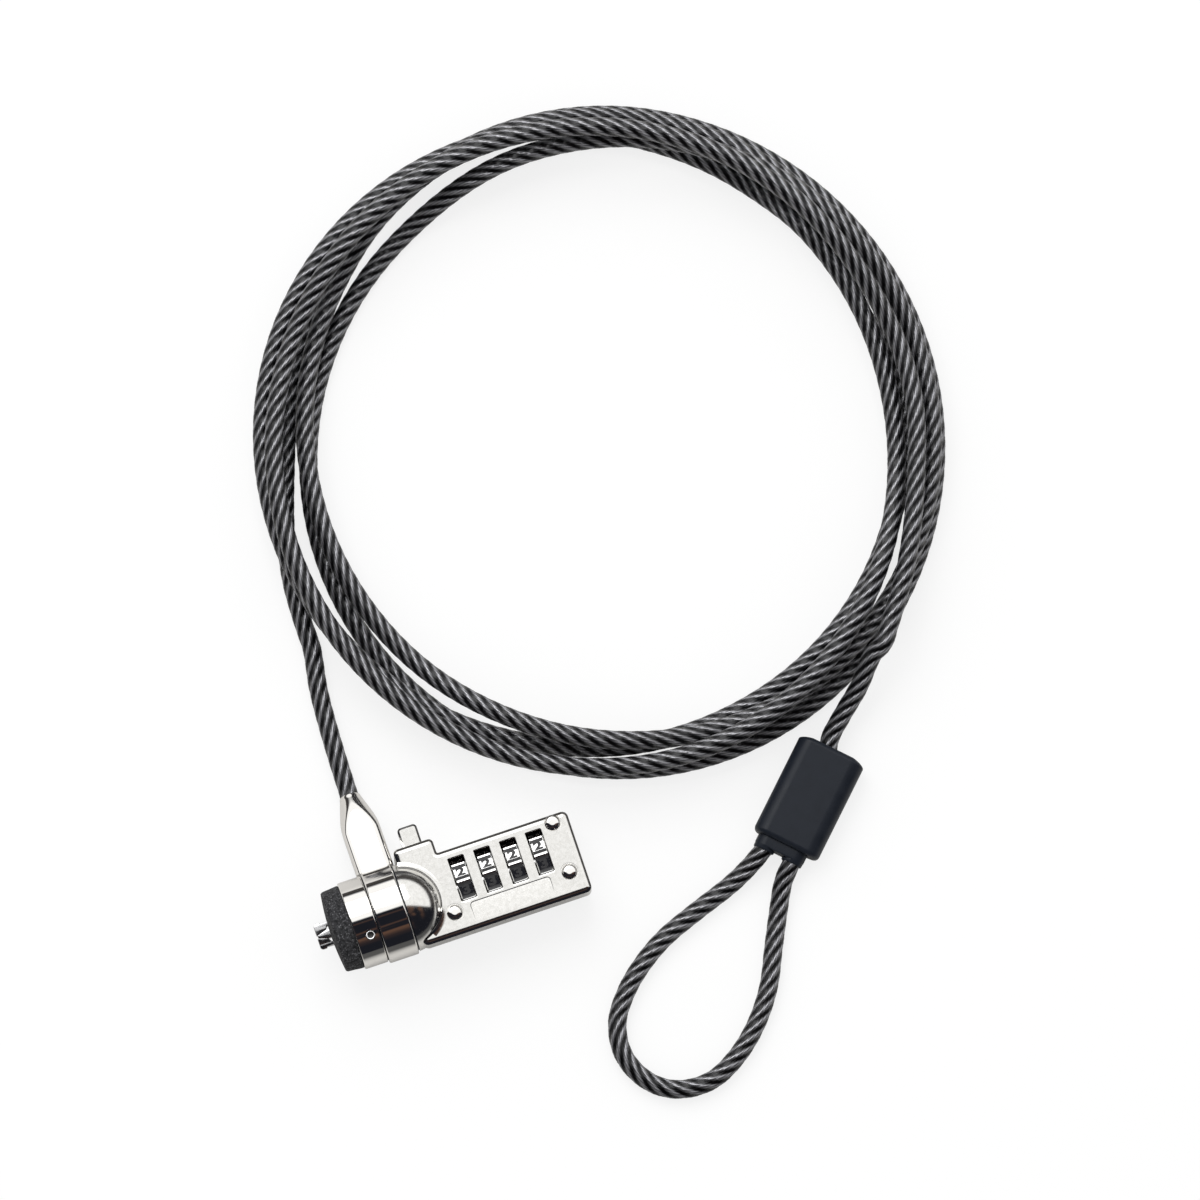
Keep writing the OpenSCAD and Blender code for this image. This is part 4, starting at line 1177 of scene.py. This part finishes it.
def cable_ferrule():
    outside = [(d, FERRULE_R) for d in (FERRULE_BACK, 12, 16, 18)]
    for i in range(15):
        share = i / 14
        outside.append((TAPER_START + (TAPER_END - TAPER_START) * share,
                        FERRULE_R + (FERRULE_LIP_R - FERRULE_R) * share))
    outside += [(FERRULE_TIP - 0.3, 2.3), (FERRULE_TIP - 0.08, 2.22), (FERRULE_TIP, 2.1)]
    rings = [ferrule_section(d, radius) for d, radius in outside]
    for d, radius in ((FERRULE_TIP - 0.02, 2.04), (17, 2.04), (17, 2.75), (FERRULE_BACK, 2.75)):
        rings.append([(d, radius * math.cos(t), radius * math.sin(t))
                      for t in full_turn(FERRULE_SIDES, 0.5)])
    shell = along_ferrule(skin(rings, closed=False))
    collar = rod(COLLAR_X[0] - 5, COLLAR_X[1] + 5, COLLAR_R + 0.02, steps=COLLAR_STEPS)
    place_piece(combine(shell, collar), "ferrule_shell", "chrome", "cable_assembly",
                ("cable_ferrule",), even=True)


def barrel_pin():
    """A rolled pin with a bright rim, and a dark plug as the bottom of its bore, painted shade for
    the hole's depth.
    """
    place_piece(upright(PIN_WALL, PIN_AT, 48), "rolled_pin", "steel", "lock_head",
                ("barrel_pin",), 40)
    place_piece(upright(PIN_BORE_SHADE, PIN_AT, 32), "pin_bore_painted_shade", "ink_and_painted_shade", "lock_head", (), 40)


def face_pad():
    """The foam disc, slightly domed, with a rounded edge and an uneven skin."""
    front, back = PAD_X0 + PAD_DOME, FRONT_X[0]
    profile = [(PAD_X0 + PAD_DOME * (r / PAD_R) ** 2, r)
               for r in (0, 1.5, 3.0, 4.5, 6.0, 7.2, 8.0, 8.4)]
    profile += [(front + 0.12, PAD_R - 0.1), (front + PAD_RIM, PAD_R)]
    side = back - front - 0.7
    profile += [(front + PAD_RIM + side * i / 10, PAD_R + PAD_FLARE * i / 10)
                for i in range(1, 11)]
    profile += [(back - 0.08, 8.95), (back, 8.75), (back, 0)]
    disc = lathe(profile, 180)
    for vert in disc.verts:
        offset = Vector((0, vert.co.y, vert.co.z - BARREL_Z))
        if offset.length > 6 and vert.co.x < back - 0.05:
            lump = noise.noise(vert.co * 1.3) * 0.05 + noise.noise(vert.co * 3.1) * 0.03
            vert.co += offset.normalized() * lump
    slot = cuboid((PAD_X0 - 1, back + 1), (-3.25, 3.25), (BARREL_Z - 1.7, BARREL_Z + 1.7))
    place_piece(combine(disc, slot), "foam_disc", "foam", "lock_head",
                ("face_pad",), even=True)


def spigot_piece(node, body):
    """A jaw or the pin, whose broad faces are turned round outside the pad."""
    blade = as_made(node)
    outside = [e for e in steep_edges(blade) if min(v.co.x for v in e.verts) < PAD_X0]
    soften(blade, SPIGOT_SOFT, outside, 2)
    cuts = [((0, SPIGOT_STRIP * k, 0), (0, 1, 0)) for k in range(-12, 13)]
    for spot, way in cuts + [((PAD_X0 + 0.1, 0, 0), (1, 0, 0))]:
        bmesh.ops.bisect_plane(blade, geom=blade.verts[:] + blade.edges[:] + blade.faces[:],
                               plane_co=spot, plane_no=way, dist=1e-4)
    for vert in blade.verts:
        if vert.co.x < PAD_X0:
            drop = SPIGOT_R - math.sqrt(SPIGOT_R ** 2 - (vert.co.y - SPIGOT_CREST) ** 2)
            vert.co.z -= (vert.co.z - BARREL_Z) * drop / SPIGOT_HALF_T
    place_piece(blade, node + "_edged", "nickel", body, (node,), even=True)


# ---- the eye's sleeve ----


def bar_section(u, half_w, half_t, radius, v=0.0, bulge=0.0):
    """One cross-section of the sleeve, as a rounded oblong at u."""
    half_w, half_t = max(half_w, radius), max(half_t, radius)
    ring = oblong(-half_w, half_w, -half_t, half_t, radius)
    return [sleeve_point(u - bulge * (a / SLEEVE_HALF_W) ** 2, v + a, b) for a, b in ring]


def sleeve_end(u, way, radius, parts, bulge=0.0):
    """The rounded end of the sleeve at u, from its full section outwards."""
    rings = []
    for rise, inset in rounding(radius, parts):
        rings.append(bar_section(u + way * (rise - radius), SLEEVE_HALF_W - inset * 0.9,
                                 SLEEVE_HALF_T - inset, max(SLEEVE_EDGE - inset, 1.2),
                                 bulge=bulge * rise / radius))
    return rings


def eye_sleeve():
    low, high = SLEEVE_U
    middle = [bar_section(u, SLEEVE_HALF_W, SLEEVE_HALF_T, SLEEVE_EDGE) for u in (-6.0, -1.0, 4.0)]
    body = skin(sleeve_end(low, -1, 1.1, 6)[::-1] + middle + sleeve_end(high, 1, 1.5, 7, 1.0))
    centre = (MOUTH_V[0] + MOUTH_V[1]) / 2
    half = (MOUTH_V[1] - MOUTH_V[0]) / 2 + MOUTH_R
    steps = ((low + 1, 0), (low - 1.8, 0), (low - 2.1, 0.12), (low - 2.2, 0.4))
    mouth = skin([bar_section(u, half - d, MOUTH_R - d, MOUTH_R - d, centre) for u, d in steps])
    necks = [skin([[sleeve_point(u, v + r * math.cos(t), r * math.sin(t))
                    for t in full_turn(NECK_SIDES)]
                   for u, r in ((low - 1, 2.32), (low - 2.7, 2.3), (low - 2.85, 2.2))])
             for v in MOUTH_V]
    bores = [leg_bore(Vector(start), Vector(end)) for leg in (TAIL_LEG, STUB_LEG)
             for start, end in zip(leg, leg[1:])]
    body = combine(combine(body, mouth, *necks, kind="UNION"), *bores)
    place_piece(body, "sleeve_shell", "vinyl", "cable_assembly",
                ("eye_sleeve",), 35, even=True)


def leg_bore(start, end):
    """The bore for one stretch of a leg, a millimetre longer at each end."""
    way = (end - start).normalized()
    side = Vector((-way.y, way.x))
    radius = CABLE_R + 0.05
    rings = []
    for centre in (start - way, end + way):
        ring = []
        for turn in full_turn(NECK_SIDES):
            spot = centre + radius * math.cos(turn) * side
            ring.append(sleeve_point(spot.x, spot.y, radius * math.sin(turn)))
        rings.append(ring)
    return skin(rings)


housing_body()
front_cover()
dome_fillet()
cover_rivets()
release_button()
for index in range(1, 5):
    number_wheel(index)
front_barrel()
swivel_collar()
swivel_washers()
cable_ferrule()
barrel_pin()
face_pad()
spigot_piece("hook_jaw_upper", "upper_jaw")
spigot_piece("hook_jaw_lower", "lower_jaw")
spigot_piece("blocking_pin", "carriage")
eye_sleeve()

# ---- finishes of the pieces that stay as they were made ----

KEPT = {
    "steel": ("cable_swage", "eye_crimp", "jaw_pins", "wheel_spacers", "button_pin",
              "spindle_spring", "draw_plate", "spindle", "reset_cam"),
    "brass": ["detent_springs"] + ["clutch_sleeve_%d" % index for index in range(1, 5)],
}
for finish, nodes in KEPT.items():
    for name in nodes:
        for slot in NODES[name].material_slots:
            slot.material = FINISH[finish]
